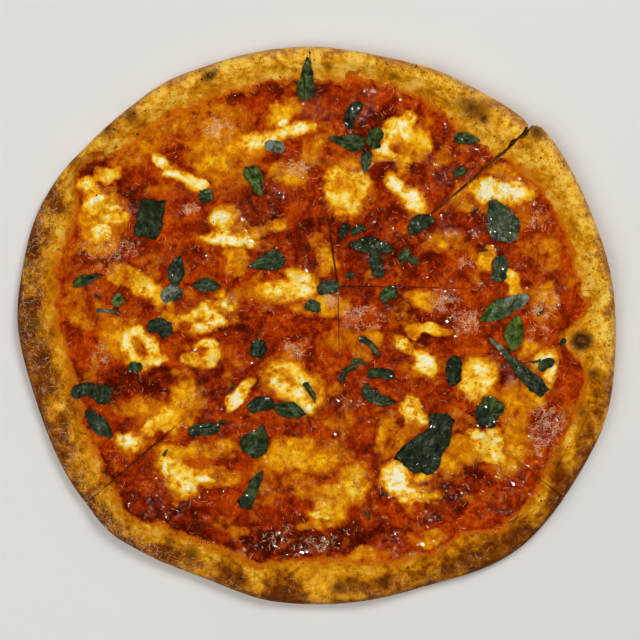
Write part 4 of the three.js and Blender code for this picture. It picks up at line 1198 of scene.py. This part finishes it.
@dataclass(frozen=True)
class OilyJuiceFinish:
    """Clear oily juice, which shows the colour of what it lies on."""

    def build(self, effects: Effects, colours: bpy.types.NodeTree) -> bpy.types.Material:
        """Makes the material; the mesh stores cover, deep, shreds and thin."""
        material, graph = new_material("oily_juice")
        place = graph.place()
        ripples = graph.group(effects.roughness, Vector=place, Scale=500.0)
        graph.shader(ToppingColours().on(graph, colours, place), 0.4, graph.bump(ripples, 0.2, 0.2),
                     Specular_IOR_Level=0.03, Coat_Weight=1.0, Coat_Roughness=0.05, Coat_IOR=2.0)
        return material


@dataclass(frozen=True)
class MozzarellaFinish:
    """Melted cheese, soft and a little glossy."""

    def build(self, effects: Effects, colours: bpy.types.NodeTree) -> bpy.types.Material:
        """Makes the material; the mesh stores cover, deep, shreds, thin and wet."""
        material, graph = new_material("melted_mozzarella")
        place = graph.place()
        colour = ToppingColours().on(graph, colours, place)
        close = graph.group(effects.mottle, Vector=place, Scale=260.0)
        wet = graph.math("MULTIPLY", graph.attribute("wet"), graph.span(close, 0.4, 0.8))
        ripples = graph.math("MULTIPLY", graph.noise(place, 520.0, 2.0, 0.5, 0.8), graph.span(wet, 0.0, 0.8, 0.4, 1.0))
        normal = graph.bump(ripples, 1.0, 0.7)
        drops = graph.group(effects.specks, Vector=place, Scale=900.0, Amount=graph.span(wet, 0.2, 0.9, 0.0, 0.3))
        graph.shader(colour, graph.span(wet, 0.0, 0.9, 0.2, 0.12), normal, Specular_IOR_Level=0.03,
                     Coat_Weight=drops, Coat_Roughness=0.2, Coat_IOR=1.9)
        return material


@dataclass(frozen=True)
class BasilFinish:
    """Wilted leaf, very dark green with a painted greyish sheen on its ridges, painted shade in its folds, and paler
    veins.
    """

    painted_shade_black: tuple = srgb(9, 12, 5)
    dark: tuple = srgb(16, 25, 12)
    green: tuple = srgb(36, 50, 24)
    fresh_dark: tuple = srgb(30, 50, 8)
    fresh: tuple = srgb(106, 136, 36)
    vein: tuple = srgb(112, 122, 80)
    painted_sheen: tuple = srgb(98, 112, 92)
    frost: tuple = srgb(176, 176, 160)

    def build(self, effects: Effects) -> bpy.types.Material:
        """Makes the material; the mesh stores fresh, vein, frost, sheen_ridges (painted sheen) and fold_shade (painted
        shade).
        """
        material, graph = new_material("basil_leaf")
        place = graph.place()
        mottle = graph.group(effects.mottle, Vector=place, Scale=210.0)
        fresh = graph.attribute("fresh")
        wilted = graph.mix(mottle, self.dark, self.green)
        green = graph.mix(mottle, self.fresh_dark, self.fresh)
        colour = graph.mix(graph.span(fresh, 0.0, 1.0), wilted, green)
        # Painted sheen, pale and greyish, on the leaf's raised ridges.
        sheen_ridges = graph.math("MULTIPLY", graph.attribute("sheen_ridges"), graph.span(mottle, 0.1, 0.7, 0.2, 1.0))
        colour = graph.mix(graph.math("MULTIPLY", sheen_ridges, 0.75), colour, self.painted_sheen)
        # Painted shade, near black, in the folds and along the curled edges.
        colour = graph.mix(graph.math("MULTIPLY", graph.attribute("fold_shade"), 0.85), colour, self.painted_shade_black)
        # Frosted leaves are also mixed towards the painted sheen colour, greyer all over.
        colour = graph.mix(graph.span(graph.attribute("frost"), 0.1, 1.0, 0.0, 0.6), colour, self.painted_sheen)
        vein = graph.math("MULTIPLY", graph.attribute("vein"), graph.span(mottle, 0.1, 0.8, 0.15, 0.65))
        vein = graph.math("MULTIPLY", vein, graph.span(fresh, 0.0, 0.3, 0.15, 1.0))
        colour = graph.mix(vein, colour, self.vein)
        frost = graph.group(effects.specks, Vector=place, Scale=1100.0, Amount=graph.attribute("frost"))
        colour = graph.mix(graph.math("MULTIPLY", frost, 0.35), colour, self.frost)
        close = graph.group(effects.mottle, Vector=place, Scale=420.0)
        wrinkles = graph.math("MULTIPLY", graph.noise(place, 760.0, 2.0, 0.5, 0.5), graph.span(close, 0.4, 0.85, 0.3, 1.0))
        normal = graph.bump(wrinkles, 1.0, 0.5)
        drops = graph.group(effects.specks, Vector=place, Scale=1000.0, Amount=graph.span(close, 0.3, 0.9, 0.05, 0.45))
        graph.shader(colour, graph.span(mottle, 0.0, 1.0, 0.3, 0.2), normal, Specular_IOR_Level=0.04,
                     Coat_Weight=drops, Coat_Roughness=0.16, Coat_IOR=1.9)
        return material


@dataclass(frozen=True)
class CrumbFinish:
    """A small thing's finish: two colours, mottled, with a roughness."""

    name: str
    first: tuple
    second: tuple
    roughness: float

    def build(self, effects: Effects) -> bpy.types.Material:
        """Makes the material."""
        material, graph = new_material(self.name)
        place = graph.place()
        mottle = graph.group(effects.mottle, Vector=place, Scale=300.0)
        colour = graph.mix(mottle, self.first, self.second)
        relief = graph.group(effects.roughness, Vector=place, Scale=1200.0)
        rough = graph.span(mottle, 0.0, 1.0, self.roughness * 0.8, self.roughness * 1.2)
        graph.shader(colour, rough, graph.bump(relief, 0.3, 0.2), Specular_IOR_Level=0.1)
        return material


# ---- The pizza's pieces ----

@dataclass
class BakedCrust:
    """Eight wedges of crust, fine where the rim is bare and plain under the sauce."""

    surface: Surface
    hidden_rows: int = 12
    rim_rows: int = 58
    column_width: float = 0.52
    hidden_under: float = 6.0
    corner: float = 2.2
    wall_bands: int = 5
    grain: Grain = field(default_factory=lambda: Grain(23))

    def build(self, number: int, material: bpy.types.Material) -> None:
        """Builds one wedge and lets it stand for its solid."""
        form = self.surface.form
        wedge = Slice(number, form)
        start, end = wedge.angles
        columns = int(np.radians(end - start) * form.cut_length / self.column_width)
        rows = self.hidden_rows + self.rim_rows
        mesh, u, v = grid(rows, columns)
        shares = np.linspace(0, 1, 200)
        edges = np.interp(v, shares, wedge.reach(shares, lambda angle: 0 * angle))
        feet = np.interp(v, shares, wedge.reach(shares, lambda angle: form.rim(angle) + self.hidden_under))
        row = np.round(u * rows)
        outward = np.clip((row - self.hidden_rows) / self.rim_rows, 0, 1)
        inner = feet * np.clip(row / self.hidden_rows, 0, 1)
        corner = np.zeros_like(v)
        for cut, near in zip(wedge.cuts, (v, 1 - v)):
            corner = corner + min(cut.gape, 2) / 2 * np.exp(-(near * edges * np.radians(end - start) / self.corner) ** 2)
        edges = edges - self.corner * corner
        distance = inner + (edges - feet) * (1 - (1 - outward) ** 1.7)
        sides = wedge.closing(distance, self.grain)
        x, y = wedge.on_ray(v, distance, sides).T
        top = self.surface.crust(x, y, number)
        set_coordinates(mesh, np.stack([x, y, top - 0.6 * self.corner * corner * outward], axis=-1))
        close_downwards(mesh, lambda points, share: self.wall(wedge, points, share), self.wall_bands, self.at_cut)
        self.store(mesh, wedge)
        finish_piece(f"baked_crust_{number}", mesh, material, [f"crust_{number}"])

    def wall(self, wedge: Slice, points: Array, share: float) -> Array:
        """The border a share of the way down: its outer edge draws in, and its cuts lean together."""
        form = self.surface.form
        at_edge = 1 - smooth_step(0.0, 0.5, form.rim_share(points[:, 0], points[:, 1], wedge.number))
        radius = np.hypot(points[:, 0], points[:, 1])
        belly = 0.5 * np.sin(share * np.pi) - form.undercut * share ** 2.2
        scale = 1 + at_edge * belly / np.maximum(radius, 1.0)
        moved = points[:, :2] * scale[:, None] + wedge.leaning(points[:, :2]) * min(share * 1.25, 1.0)
        return np.concatenate([moved, points[:, 2:] * (1 - share)], axis=1)

    def at_cut(self, points: Array) -> Array:
        """Whether border points are on a cut and not on the outer edge."""
        return self.surface.form.rim_share(points[:, 0], points[:, 1]) > 0.03

    def store(self, mesh: bpy.types.Mesh, wedge: Slice) -> None:
        """Stores what the finish reads."""
        number = wedge.number
        x, y, z = coordinates(mesh).T
        angle = np.degrees(np.arctan2(y, x))
        form = self.surface.form
        share = form.rim_share(x, y, number)
        under = np.clip(1 - z / form.lip_height, 0, 1)
        # Painted shade as well as browning: the lobes by angle darken the left and lower sides and lighten the upper
        # right as the light falls there, and outer puts more of it on the outer slopes.
        side_shade_and_tone = form.lobes_at(((185, 60, 0.5), (255, 60, 0.4), (318, 44, 0.6), (38, 70, -0.38), (88, 50, -0.34)), angle)
        sunny = 0.16 * swell(share - 0.72, 0.3)
        outer = 1 - smooth_step(0.3, 0.9, share)
        browning_and_shade = 0.12 + 0.06 * outer + side_shade_and_tone * (0.65 + 0.7 * outer) - sunny + 0.44 * self.surface.broad.layered(x, y + 1.6 * z, 13.0, 3) - 0.3 * under
        freckles = form.lobes_at(
            ((168, 46, 0.52), (225, 30, 0.5), (106, 24, 0.28), (300, 34, 0.35), (60, 20, 0.3), (10, 50, 0.35)), angle)
        dust = form.lobes_at(((168, 60, 0.9), (226, 36, 0.8), (110, 30, 0.5), (30, 60, 0.3), (300, 60, 0.4)), angle)
        u, v = self.surface.edge.shifted(x, y, 3.0, 0.5)
        char_and_cut_shade = np.zeros_like(x)
        for spot in CHARS:
            away = np.sqrt(np.maximum(1 - spot.rest(u, v), 0))
            char_and_cut_shade = np.maximum(char_and_cut_shade, spot.strength * np.clip(1.12 - away, 0, 1))
        # Painted shade: the crust's walls down inside a cut are darkened with the char colours, as if in the narrow
        # kerf's shadow.
        below = self.surface.crust(x, y, number) - z
        kerf_wall_shade = smooth_step(3.0, 1.5, wedge.from_cut(x, y)) * smooth_step(0.3, 2.5, below)
        char_and_cut_shade = np.maximum(char_and_cut_shade, 0.5 * kerf_wall_shade)
        set_values(mesh, "edge", np.clip(share, 0, 1))
        set_values(mesh, "browning_and_shade", np.clip(browning_and_shade, 0, 1))
        set_values(mesh, "freckles", np.clip((0.12 + 0.85 * freckles) * (0.2 + 0.8 * outer), 0, 1))
        set_values(mesh, "char_and_cut_shade", char_and_cut_shade)
        set_values(mesh, "stain", smooth_step(0.7, 1.05, share + 0.12 * self.surface.edge.layered(x, y, 5.0, 3)))
        set_values(mesh, "dust", np.clip(0.1 + dust, 0, 1) * (1 - smooth_step(0.2, 0.8, share)))


@dataclass
class TomatoSauce:
    """Eight sectors of sauce that run out a little way up the rim's inner slope."""

    surface: Surface
    rows: int = 240
    columns: int = 185
    climb: float = 5.0
    sunk: float = 0.4
    grain: Grain = field(default_factory=lambda: Grain(23))

    def build(self, number: int, material: bpy.types.Material) -> None:
        """Builds one sector and lets it stand for its solid."""
        form = self.surface.form
        wedge = Slice(number, form)
        mesh, u, v = grid(self.rows, self.columns)
        shares = np.linspace(0, 1, 200)
        ends = np.interp(v, shares, wedge.reach(shares, lambda angle: form.rim(angle) - self.climb))
        distance = ends * u ** 0.85
        sides = wedge.closing(distance, self.grain)
        x, y = wedge.on_ray(v, distance, sides).T
        start, end = wedge.angles
        arc = distance * np.radians(end - start)
        drop = np.zeros_like(x)
        for near, side in ((v * arc, sides[0]), ((1 - v) * arc, sides[1])):
            opening = np.clip(form.kerf / 2 - side, 0, 1)
            drop = drop + 1.6 * opening * np.exp(-near / 0.7)
        set_coordinates(mesh, np.stack([x, y, self.surface.sauce(x, y, number) - drop], axis=-1))
        close_downwards(mesh, self.wall, 1, lambda points: np.ones(len(points), bool))
        x, y, _ = coordinates(mesh).T
        set_values(mesh, "cover", self.surface.cover(x, y))
        set_values(mesh, "deep", self.surface.deep(x, y))
        set_values(mesh, "thin", 1 - np.clip(self.surface.sauce_share(x, y, number), 0, 1))
        lying = smooth_step(0.1, 0.8, self.surface.sauce_share(x, y, number))
        set_values(mesh, "wet", (0.4 + 0.6 * self.surface.clumps(x, y)) * lying)
        set_values(mesh, "shreds", np.clip(0.35 + patch_strength(SHRED_PATCHES, x, y), 0, 1))
        finish_piece(f"tomato_sauce_{number}", mesh, material, [f"sauce_{number}"])

    def wall(self, points: Array, share: float) -> Array:
        """The border's foot, just inside the crust."""
        foot = np.full(len(points), self.surface.form.base_height - self.sunk)
        return np.stack([points[:, 0], points[:, 1], foot], axis=-1)


@dataclass
class Mozzarella:
    """Melted lumps of mozzarella that run down into the sauce round them."""

    surface: Surface
    spacing: float = 0.42
    margin: float = 2.5

    def build(self, patch: CheesePatch, material: bpy.types.Material) -> None:
        """Builds one lump and lets it stand for its solid."""
        reach = [(blob.x, blob.y, max(blob.length, blob.width) / 2 + self.margin) for blob in patch.blobs]
        low_x, high_x = min(x - r for x, _, r in reach), max(x + r for x, _, r in reach)
        low_y, high_y = min(y - r for _, y, r in reach), max(y + r for _, y, r in reach)
        steps = [int((high - low) / self.spacing) for low, high in ((low_x, high_x), (low_y, high_y))]
        mesh, u, v = grid(*steps)
        x, y = low_x + (high_x - low_x) * u, low_y + (high_y - low_y) * v
        set_coordinates(mesh, np.stack([x, y, self.surface.lump(patch, x, y)], axis=-1))
        wedge = Slice(patch.slice_number, self.surface.form)
        close_downwards(
            mesh, self.wall, 1, trims=wedge.trims(),
            drop=lambda points: patch.rest(*self.surface.shaped(points[:, 0], points[:, 1])) < -0.5)
        x, y, _ = coordinates(mesh).T
        set_values(mesh, "cover", self.surface.cover(x, y))
        set_values(mesh, "deep", np.zeros_like(x))
        set_values(mesh, "shreds", np.zeros_like(x))
        set_values(mesh, "thin", np.zeros_like(x))
        set_values(mesh, "wet", 0.2 + 0.8 * self.surface.clumps(x, y))
        finish_piece("melted_" + patch.node, mesh, material, [patch.node])

    def wall(self, points: Array, share: float) -> Array:
        """The border's foot, inside the sauce."""
        foot = np.full(len(points), self.surface.form.base_height + 0.5)
        return np.stack([points[:, 0], points[:, 1], foot], axis=-1)


@dataclass
class Basil:
    """Basil leaves and torn bits, wilted on to whatever is under them."""

    surface: Surface
    thickness: float = 0.45
    lift: float = 0.25
    grain: Grain = field(default_factory=lambda: Grain(31))

    def ground(self, x: Array, y: Array, number: int) -> Array:
        """Highest surface close by, so that a leaf clears what it lies on."""
        reach = 0.7
        around = ((0, 0), (reach, 0), (-reach, 0), (0, reach), (0, -reach))
        return np.max([self.surface.top(x + dx, y + dy, np.full(x.shape, number)) for dx, dy in around], axis=0)

    def leaf(self, leaf: Leaf, spacing: float) -> bpy.types.Mesh:
        """The mesh of one leaf, with its values stored."""
        steps_u, steps_v = max(int(leaf.length / spacing), 6), max(int(leaf.width / spacing), 4)
        mesh, u, v = grid(steps_u, steps_v)
        turn = np.radians(leaf.direction)
        half = leaf.width / 2 * leaf.shape.half_width(u, v - 0.5)
        ends = 1 - 0.14 * (2 * v - 1) ** 2 * (leaf.shape in (LeafShape.STRIP, LeafShape.TORN))
        along = (u - 0.5) * leaf.length * ends
        side = 2 * v - 1
        across = side * half + leaf.bend * (4 * u * (1 - u) - 0.5)
        tear = 0.09 * min(leaf.width, 10.0)
        seed_x, seed_y = leaf.x * 3.1, leaf.y * 2.7
        along = along + tear * self.grain.layered(along + seed_x, across + seed_y, 4.2, 3)
        across = across + tear * self.grain.layered(along - seed_y, across + seed_x, 4.6, 3)
        x = leaf.x + along * np.cos(turn) - across * np.sin(turn)
        y = leaf.y + along * np.sin(turn) + across * np.cos(turn)
        wave = 0.9 * self.grain.layered(x - 40, y, 7.0, 2)
        rib = np.exp(-((side * half + wave * (u > 0.1)) / 0.3) ** 2)
        swept = along - 0.8 * np.abs(across) + 1.8 * wave
        present = smooth_step(-0.1, 0.5, self.grain.layered(x, y + 33, 4.0, 2))
        branch = np.abs(np.cos(swept * np.pi / 3.4)) ** 26 * present * (np.abs(side) < 0.95)
        vein = np.clip(0.8 * rib + 0.5 * branch, 0, 1) * (u < 0.95)
        folds = self.grain.layered(x + 5, y, 5.0, 2)
        # Painted sheen: the raised ridges of the wrinkles are marked here, and the finish paints them a pale greyish
        # sheen.
        ridges = self.grain.layered(swept * 0.55 + seed_x, across * 0.9 + seed_y, 1.9, 3)
        sheen_ridges = np.clip(1 - np.abs(ridges) * 3.4, 0, 1) ** 1.5 * smooth_step(-0.5, 0.5, folds)
        # Painted shade: the valleys between the wrinkles and the curled edges are marked here, and the finish paints
        # them near black.
        fold_shade = smooth_step(0.25, 0.75, -self.grain.layered(swept * 0.5 - seed_y, across + seed_x, 2.3, 3))
        edge = np.maximum(np.abs(side), np.abs(2 * u - 1)) ** 10
        fold_shade = np.clip(fold_shade + 0.7 * edge, 0, 1)
        curl = 0.6 * np.abs(side) ** 3 * (0.5 + 0.5 * np.sin(seed_x + 3 * u))
        relief = 0.45 * folds + 0.2 * sheen_ridges - 0.3 * fold_shade * (1 - edge) + curl + 0.1 * rib + 0.08 * branch
        z = self.ground(x, y, leaf.slice_number) + self.lift + self.thickness + relief
        set_coordinates(mesh, np.stack([x, y, z], axis=-1))
        self.thicken(mesh)
        x, y, _ = coordinates(mesh).T
        count = len(mesh.vertices) // len(u) + 1
        for name, values in (("vein", vein), ("sheen_ridges", sheen_ridges), ("fold_shade", fold_shade)):
            set_values(mesh, name, np.tile(values, count)[:len(mesh.vertices)])
        for name, given in (("fresh", leaf.fresh), ("frost", leaf.frost)):
            values = np.interp(u, (0.25, 0.75), np.broadcast_to(given, 2))
            values = np.tile(values, count)[:len(mesh.vertices)]
            set_values(mesh, name, np.clip(values * (1 + 0.7 * self.grain.layered(x, y, 4.0, 2)), 0, 1))
        return mesh

    def thicken(self, mesh: bpy.types.Mesh) -> None:
        """Gives a leaf its thickness: both faces are divided alike, with a wall between them."""
        shape = bmesh.new()
        shape.from_mesh(mesh)
        grown = bmesh.ops.extrude_face_region(shape, geom=shape.faces[:], use_keep_orig=True)["geom"]
        lower = [item for item in grown if isinstance(item, bmesh.types.BMVert)]
        bmesh.ops.translate(shape, verts=lower, vec=(0, 0, -self.thickness * MM))
        bmesh.ops.recalc_face_normals(shape, faces=shape.faces)
        for face in shape.faces:
            face.smooth = True
        shape.to_mesh(mesh)
        shape.free()

    def build(self, index: int, leaf: Leaf, material: bpy.types.Material) -> None:
        """Builds one leaf and lets it stand for its solid."""
        mesh = self.leaf(leaf, 0.33)
        finish_piece(f"wilted_basil_{index:02d}", mesh, material, [f"basil_{index:02d}"])

    def build_bits(self, bits: Sequence[Leaf], material: bpy.types.Material) -> None:
        """Builds the small bits as one piece."""
        meshes = [self.leaf(bit, 0.36) for bit in bits]
        finish_piece("basil_bits", joined(meshes), material)


def joined(meshes: Sequence[bpy.types.Mesh]) -> bpy.types.Mesh:
    """One mesh of several, with the values that they store."""
    whole = bmesh.new()
    for mesh in meshes:
        whole.from_mesh(mesh)
    result = bpy.data.meshes.new("joined")
    for attribute in meshes[0].attributes:
        if attribute.data_type == "FLOAT" and attribute.name not in result.attributes:
            result.attributes.new(attribute.name, "FLOAT", "POINT")
    whole.to_mesh(result)
    whole.free()
    return result


@dataclass
class Scatter:
    """Small things by the hundred, joined into one mesh."""

    surface: Surface
    seed: int

    def __post_init__(self) -> None:
        """Makes the seeded source of chance."""
        self.chance = np.random.default_rng(self.seed)

    def places(self, count: int, density: Callable[[Array, Array], Array]) -> tuple[Array, Array]:
        """Draws places on the pizza, more of them where the density is high.

        Args:
            count: How many places.
            density: Gives the chance from 0 to 1 that a place is kept.

        Returns:
            The places' x and y.
        """
        form = self.surface.form
        kept_x, kept_y = np.empty(0), np.empty(0)
        while len(kept_x) < count:
            x = self.chance.uniform(-form.half_length, form.half_length, 4000)
            y = self.chance.uniform(-form.half_width, form.half_width, 4000)
            share = form.rim_share(x, y, slice_at(x, y, form))
            keep = (share > 0.05) & (self.chance.random(4000) < density(x, y))
            kept_x, kept_y = np.concatenate([kept_x, x[keep]]), np.concatenate([kept_y, y[keep]])
        return kept_x[:count], kept_y[:count]

    def copies(self, template: bmesh.types.BMesh, places: Array) -> bpy.types.Mesh:
        """One mesh of many copies of a small closed shape.

        Args:
            template: The shape.
            places: Each copy's points, in millimetres, as copies x points x 3.

        Returns:
            The mesh.
        """
        template.verts.index_update()
        faces = np.array([[vert.index for vert in face.verts] for face in template.faces])
        offsets = np.arange(len(places)) * len(template.verts)
        every_face = (faces[None] + offsets[:, None, None]).reshape(-1, faces.shape[1])
        mesh = bpy.data.meshes.new("copies")
        mesh.from_pydata((places.reshape(-1, 3) * MM).tolist(), [], every_face.tolist())
        mesh.polygons.foreach_set("use_smooth", np.ones(len(mesh.polygons), bool))
        mesh.update()
        return mesh


@dataclass
class MeltedShreds(Scatter):
    """Fine shreds of hard cheese, half melted on to the sauce, the rim and some leaves."""

    count: int = 4000
    steps: int = 4

    def build(self, material: bpy.types.Material) -> None:
        """Builds all the shreds as one piece."""
        template = bmesh.new()
        bmesh.ops.create_cone(template, cap_ends=True, segments=4, radius1=0.5, radius2=0.5, depth=1.0)
        long_edges = [e for e in template.edges if abs(e.verts[0].co.z - e.verts[1].co.z) > 0.5]
        bmesh.ops.subdivide_edges(template, edges=long_edges, cuts=self.steps, use_grid_fill=True)
        bmesh.ops.triangulate(template, faces=template.faces)
        points = np.array([[*vert.co] for vert in template.verts])
        x, y = self.places(self.count, self.density)
        lengths = self.chance.gamma(4.0, 0.45, self.count)[:, None] + 0.6
        headings = self.chance.uniform(0, 2 * np.pi, self.count)[:, None]
        curls = self.chance.normal(0, 0.4, self.count)[:, None]
        widths = self.chance.uniform(0.045, 0.09, self.count)[:, None]
        t = points[None, :, 2]
        heading = headings + curls * t
        along = lengths * t
        taper = np.sqrt(np.clip(1.02 - (2 * t) ** 2, 0.05, 1))
        side = points[None, :, 0] * widths * taper * 2
        px = x[:, None] + along * np.cos(headings + curls * t / 2) - side * np.sin(heading)
        py = y[:, None] + along * np.sin(headings + curls * t / 2) + side * np.cos(heading)
        ground = self.surface.top(px.ravel(), py.ravel()).reshape(px.shape)
        pz = ground + 0.06 + points[None, :, 1] * widths * taper * 1.3
        mesh = self.copies(template, np.stack([px, py, pz], axis=-1))
        template.free()
        finish_piece("melted_shreds", mesh, material)

    def density(self, x: Array, y: Array) -> Array:
        """Thick in patches, thin on the rest, with some clusters everywhere."""
        clusters = smooth_step(0.1, 0.8, self.surface.edge.layered(x, y, 14.0, 2))
        tangles = smooth_step(-0.3, 0.6, self.surface.fine.layered(x, y + 23, 2.8, 2))
        form = self.surface.form
        angle = np.degrees(np.arctan2(y, x))
        rim = 0.07 * form.lobes_at(((168, 60, 1), (226, 36, 1)), angle) * (form.rim_share(x, y) < 0.7)
        return np.clip(0.005 + rim + tangles * (0.04 * clusters + 1.1 * patch_strength(SHRED_PATCHES, x, y)), 0, 1)


@dataclass
class OilBeads(Scatter):
    """Flat beads of oily juice on the wet sauce, coloured like what they lie on, which catch the light."""

    count: int = 5000
    smallest: float = 0.16
    flatness: float = 0.22

    def build(self, material: bpy.types.Material) -> None:
        """Builds all the beads as one piece."""
        template = bmesh.new()
        bmesh.ops.create_uvsphere(template, u_segments=6, v_segments=4, radius=1.0)
        bmesh.ops.triangulate(template, faces=template.faces)
        points = np.array([[*vert.co] for vert in template.verts])
        lens = np.sign(points[:, 2]) * (1 - points[:, 0] ** 2 - points[:, 1] ** 2)
        x, y = self.places(self.count, self.density)
        radius = np.minimum(self.smallest + self.chance.gamma(2.0, 0.06, self.count), 0.5)[:, None]
        stretch = self.chance.uniform(1.0, 2.4, self.count)[:, None]
        turn = self.chance.uniform(0, np.pi, self.count)[:, None]
        along, across = points[None, :, 0] * radius * stretch, points[None, :, 1] * radius
        px = x[:, None] + along * np.cos(turn) - across * np.sin(turn)
        py = y[:, None] + along * np.sin(turn) + across * np.cos(turn)
        pz = self.surface.top(x, y)[:, None] + 0.04 + lens * radius * self.flatness
        mesh = self.copies(template, np.stack([px, py, pz], axis=-1))
        template.free()
        zero = np.zeros_like(x)
        values = {"cover": self.surface.cover(x, y), "deep": self.surface.deep(x, y), "thin": zero, "shreds": zero}
        for name, value in values.items():
            set_values(mesh, name, np.repeat(value, len(points)))
        finish_piece("oil_beads", mesh, material)

    def density(self, x: Array, y: Array) -> Array:
        """On the sauce only, where it is wettest."""
        inside = self.surface.form.rim_share(x, y) > 1.05
        tight = smooth_step(-0.1, 0.7, self.surface.fine.layered(x + 50, y, 5.0, 2))
        bare = smooth_step(0.75, 0.4, self.surface.cover(x, y))
        return inside * tight * (0.2 + 0.8 * self.surface.clumps(x, y)) * (0.25 + 0.75 * bare)


@dataclass
class HerbSpecks(Scatter):
    """Dried herbs, pepper and scorched crumbs, mostly on the rim."""

    count: int = 1100

    def build(self, material: bpy.types.Material) -> None:
        """Builds all the specks as one piece."""
        template = bmesh.new()
        bmesh.ops.create_icosphere(template, subdivisions=1, radius=1.0)
        points = np.array([[*vert.co] for vert in template.verts])
        x, y = self.places(self.count, self.density)
        radius = (0.1 + self.chance.gamma(2.0, 0.07, self.count))[:, None]
        stretch = self.chance.uniform(0.8, 2.2, self.count)[:, None]
        turn = self.chance.uniform(0, np.pi, self.count)[:, None]
        ragged = self.chance.uniform(0.7, 1.3, (self.count, len(points)))
        u = points[None, :, 0] * radius * stretch * ragged
        v = points[None, :, 1] * radius * ragged
        px = x[:, None] + u * np.cos(turn) - v * np.sin(turn)
        py = y[:, None] + u * np.sin(turn) + v * np.cos(turn)
        pz = self.surface.top(x, y)[:, None] + 0.08 + points[None, :, 2] * radius * 0.6
        mesh = self.copies(template, np.stack([px, py, pz], axis=-1))
        template.free()
        finish_piece("herb_specks", mesh, material)

    def density(self, x: Array, y: Array) -> Array:
        """Thick on the rim, thin on the toppings."""
        share = self.surface.form.rim_share(x, y)
        clusters = smooth_step(-0.2, 0.8, self.surface.fine.layered(x, y + 70, 16.0, 2))
        return np.where(share < 1, 0.25 + 0.75 * clusters, 0.16 * clusters)


# ---- Studio ----

@dataclass(frozen=True)
class Studio:
    """A pale floor, soft light and a camera straight above."""

    view_centre: tuple = (1.9, 3.0)
    view_width: float = 352.0
    view_level: float = 10.0
    lens: float = 120.0
    sensor: float = 36.0
    floor_half: float = 3.0

    def build(self) -> None:
        """Sets up the floor, the lights, the surroundings and the camera."""
        self.build_floor()
        self.light("key", (0.45, 0.6, 1.3), 0.6, 11.0, glints=False)
        self.light("fill", (-0.7, -0.45, 1.25), 1.2, 10.0, glints=False)
        self.light("far_sparkle", (0.5, 0.7, 1.2), 0.24, 36.0, glints=True)
        self.light("near_sparkle", (0.1, -0.75, 1.15), 0.24, 30.0, glints=True)
        world = bpy.data.worlds.new("studio")
        world.use_nodes = True
        world.node_tree.nodes["Background"].inputs["Color"].default_value = (1.0, 0.98, 0.95, 1.0)
        world.node_tree.nodes["Background"].inputs["Strength"].default_value = 0.2
        world.cycles_visibility.glossy = False
        bpy.context.scene.world = world
        bpy.context.scene.view_settings.view_transform = "Standard"
        self.build_camera()

    def build_floor(self) -> None:
        """The floor, level with the pizza's foot."""
        material, graph = new_material("studio_floor")
        shade = graph.noise(graph.place(), 3.0, 2.0)
        colour = graph.mix(shade, srgb(226, 224, 220), srgb(232, 230, 226))
        graph.shader(colour, 0.8, graph.bump(shade, 0.05, 0.1), Specular_IOR_Level=0.0)
        mesh = bpy.data.meshes.new("studio_floor")
        shape = bmesh.new()
        bmesh.ops.create_grid(shape, x_segments=1, y_segments=1, size=self.floor_half)
        shape.to_mesh(mesh)
        shape.free()
        floor = bpy.data.objects.new("studio_floor", mesh)
        bpy.context.scene.collection.objects.link(floor)
        mesh.materials.append(material)

    def light(self, name: str, place: tuple, size: float, power: float, glints: bool) -> None:
        """A round lamp that faces the pizza, placed in metres, for the gloss alone or for all but the gloss."""
        data = bpy.data.lights.new(name, "AREA")
        data.shape, data.size, data.energy = "DISK", size, power
        data.color = (1.0, 0.87, 0.74) if glints else (1.0, 1.0, 1.0)
        lamp = bpy.data.objects.new(name, data)
        lamp.location = place
        lamp.visible_glossy, lamp.visible_diffuse = glints, not glints
        direction = -lamp.location.normalized()
        lamp.rotation_euler = direction.to_track_quat("-Z", "Y").to_euler()
        bpy.context.scene.collection.objects.link(lamp)

    def build_camera(self) -> None:
        """The camera, straight above, with +Y at the top of its view."""
        data = bpy.data.cameras.new("camera")
        data.lens, data.sensor_width = self.lens, self.sensor
        camera = bpy.data.objects.new("camera", data)
        height = self.view_level + self.view_width * self.lens / self.sensor
        camera.location = (self.view_centre[0] * MM, self.view_centre[1] * MM, height * MM)
        bpy.context.scene.collection.objects.link(camera)
        bpy.context.scene.camera = camera


def main() -> None:
    """Builds the pizza, piece by piece, and the studio round it."""
    logging.basicConfig(level=logging.INFO, format="%(name)s: %(message)s")
    effects = Effects()
    surface = Surface(PizzaForm())
    crust_finish = BakedCrustFinish().build(effects)
    colours = ToppingColours().build(effects)
    sauce_finish = TomatoSauceFinish().build(effects, colours)
    for number in range(1, len(CUTS) + 1):
        BakedCrust(surface).build(number, crust_finish)
        TomatoSauce(surface).build(number, sauce_finish)
    cheese_finish = MozzarellaFinish().build(effects, colours)
    for patch in MOZZARELLA:
        Mozzarella(surface).build(patch, cheese_finish)
    basil_finish = BasilFinish().build(effects)
    basil = Basil(surface)
    for index, leaf in enumerate(BASIL, start=1):
        basil.build(index, leaf, basil_finish)
    basil.build_bits(BASIL_BITS, basil_finish)
    shred = CrumbFinish("melted_shred", srgb(250, 226, 190), srgb(232, 164, 108), 0.5)
    MeltedShreds(surface, 41).build(shred.build(effects))
    OilBeads(surface, 43).build(OilyJuiceFinish().build(effects, colours))
    speck = CrumbFinish("herb_speck", srgb(26, 18, 10), srgb(44, 32, 14), 0.6)
    HerbSpecks(surface, 47).build(speck.build(effects))
    Studio().build()


if __name__ == "__main__":
    main()
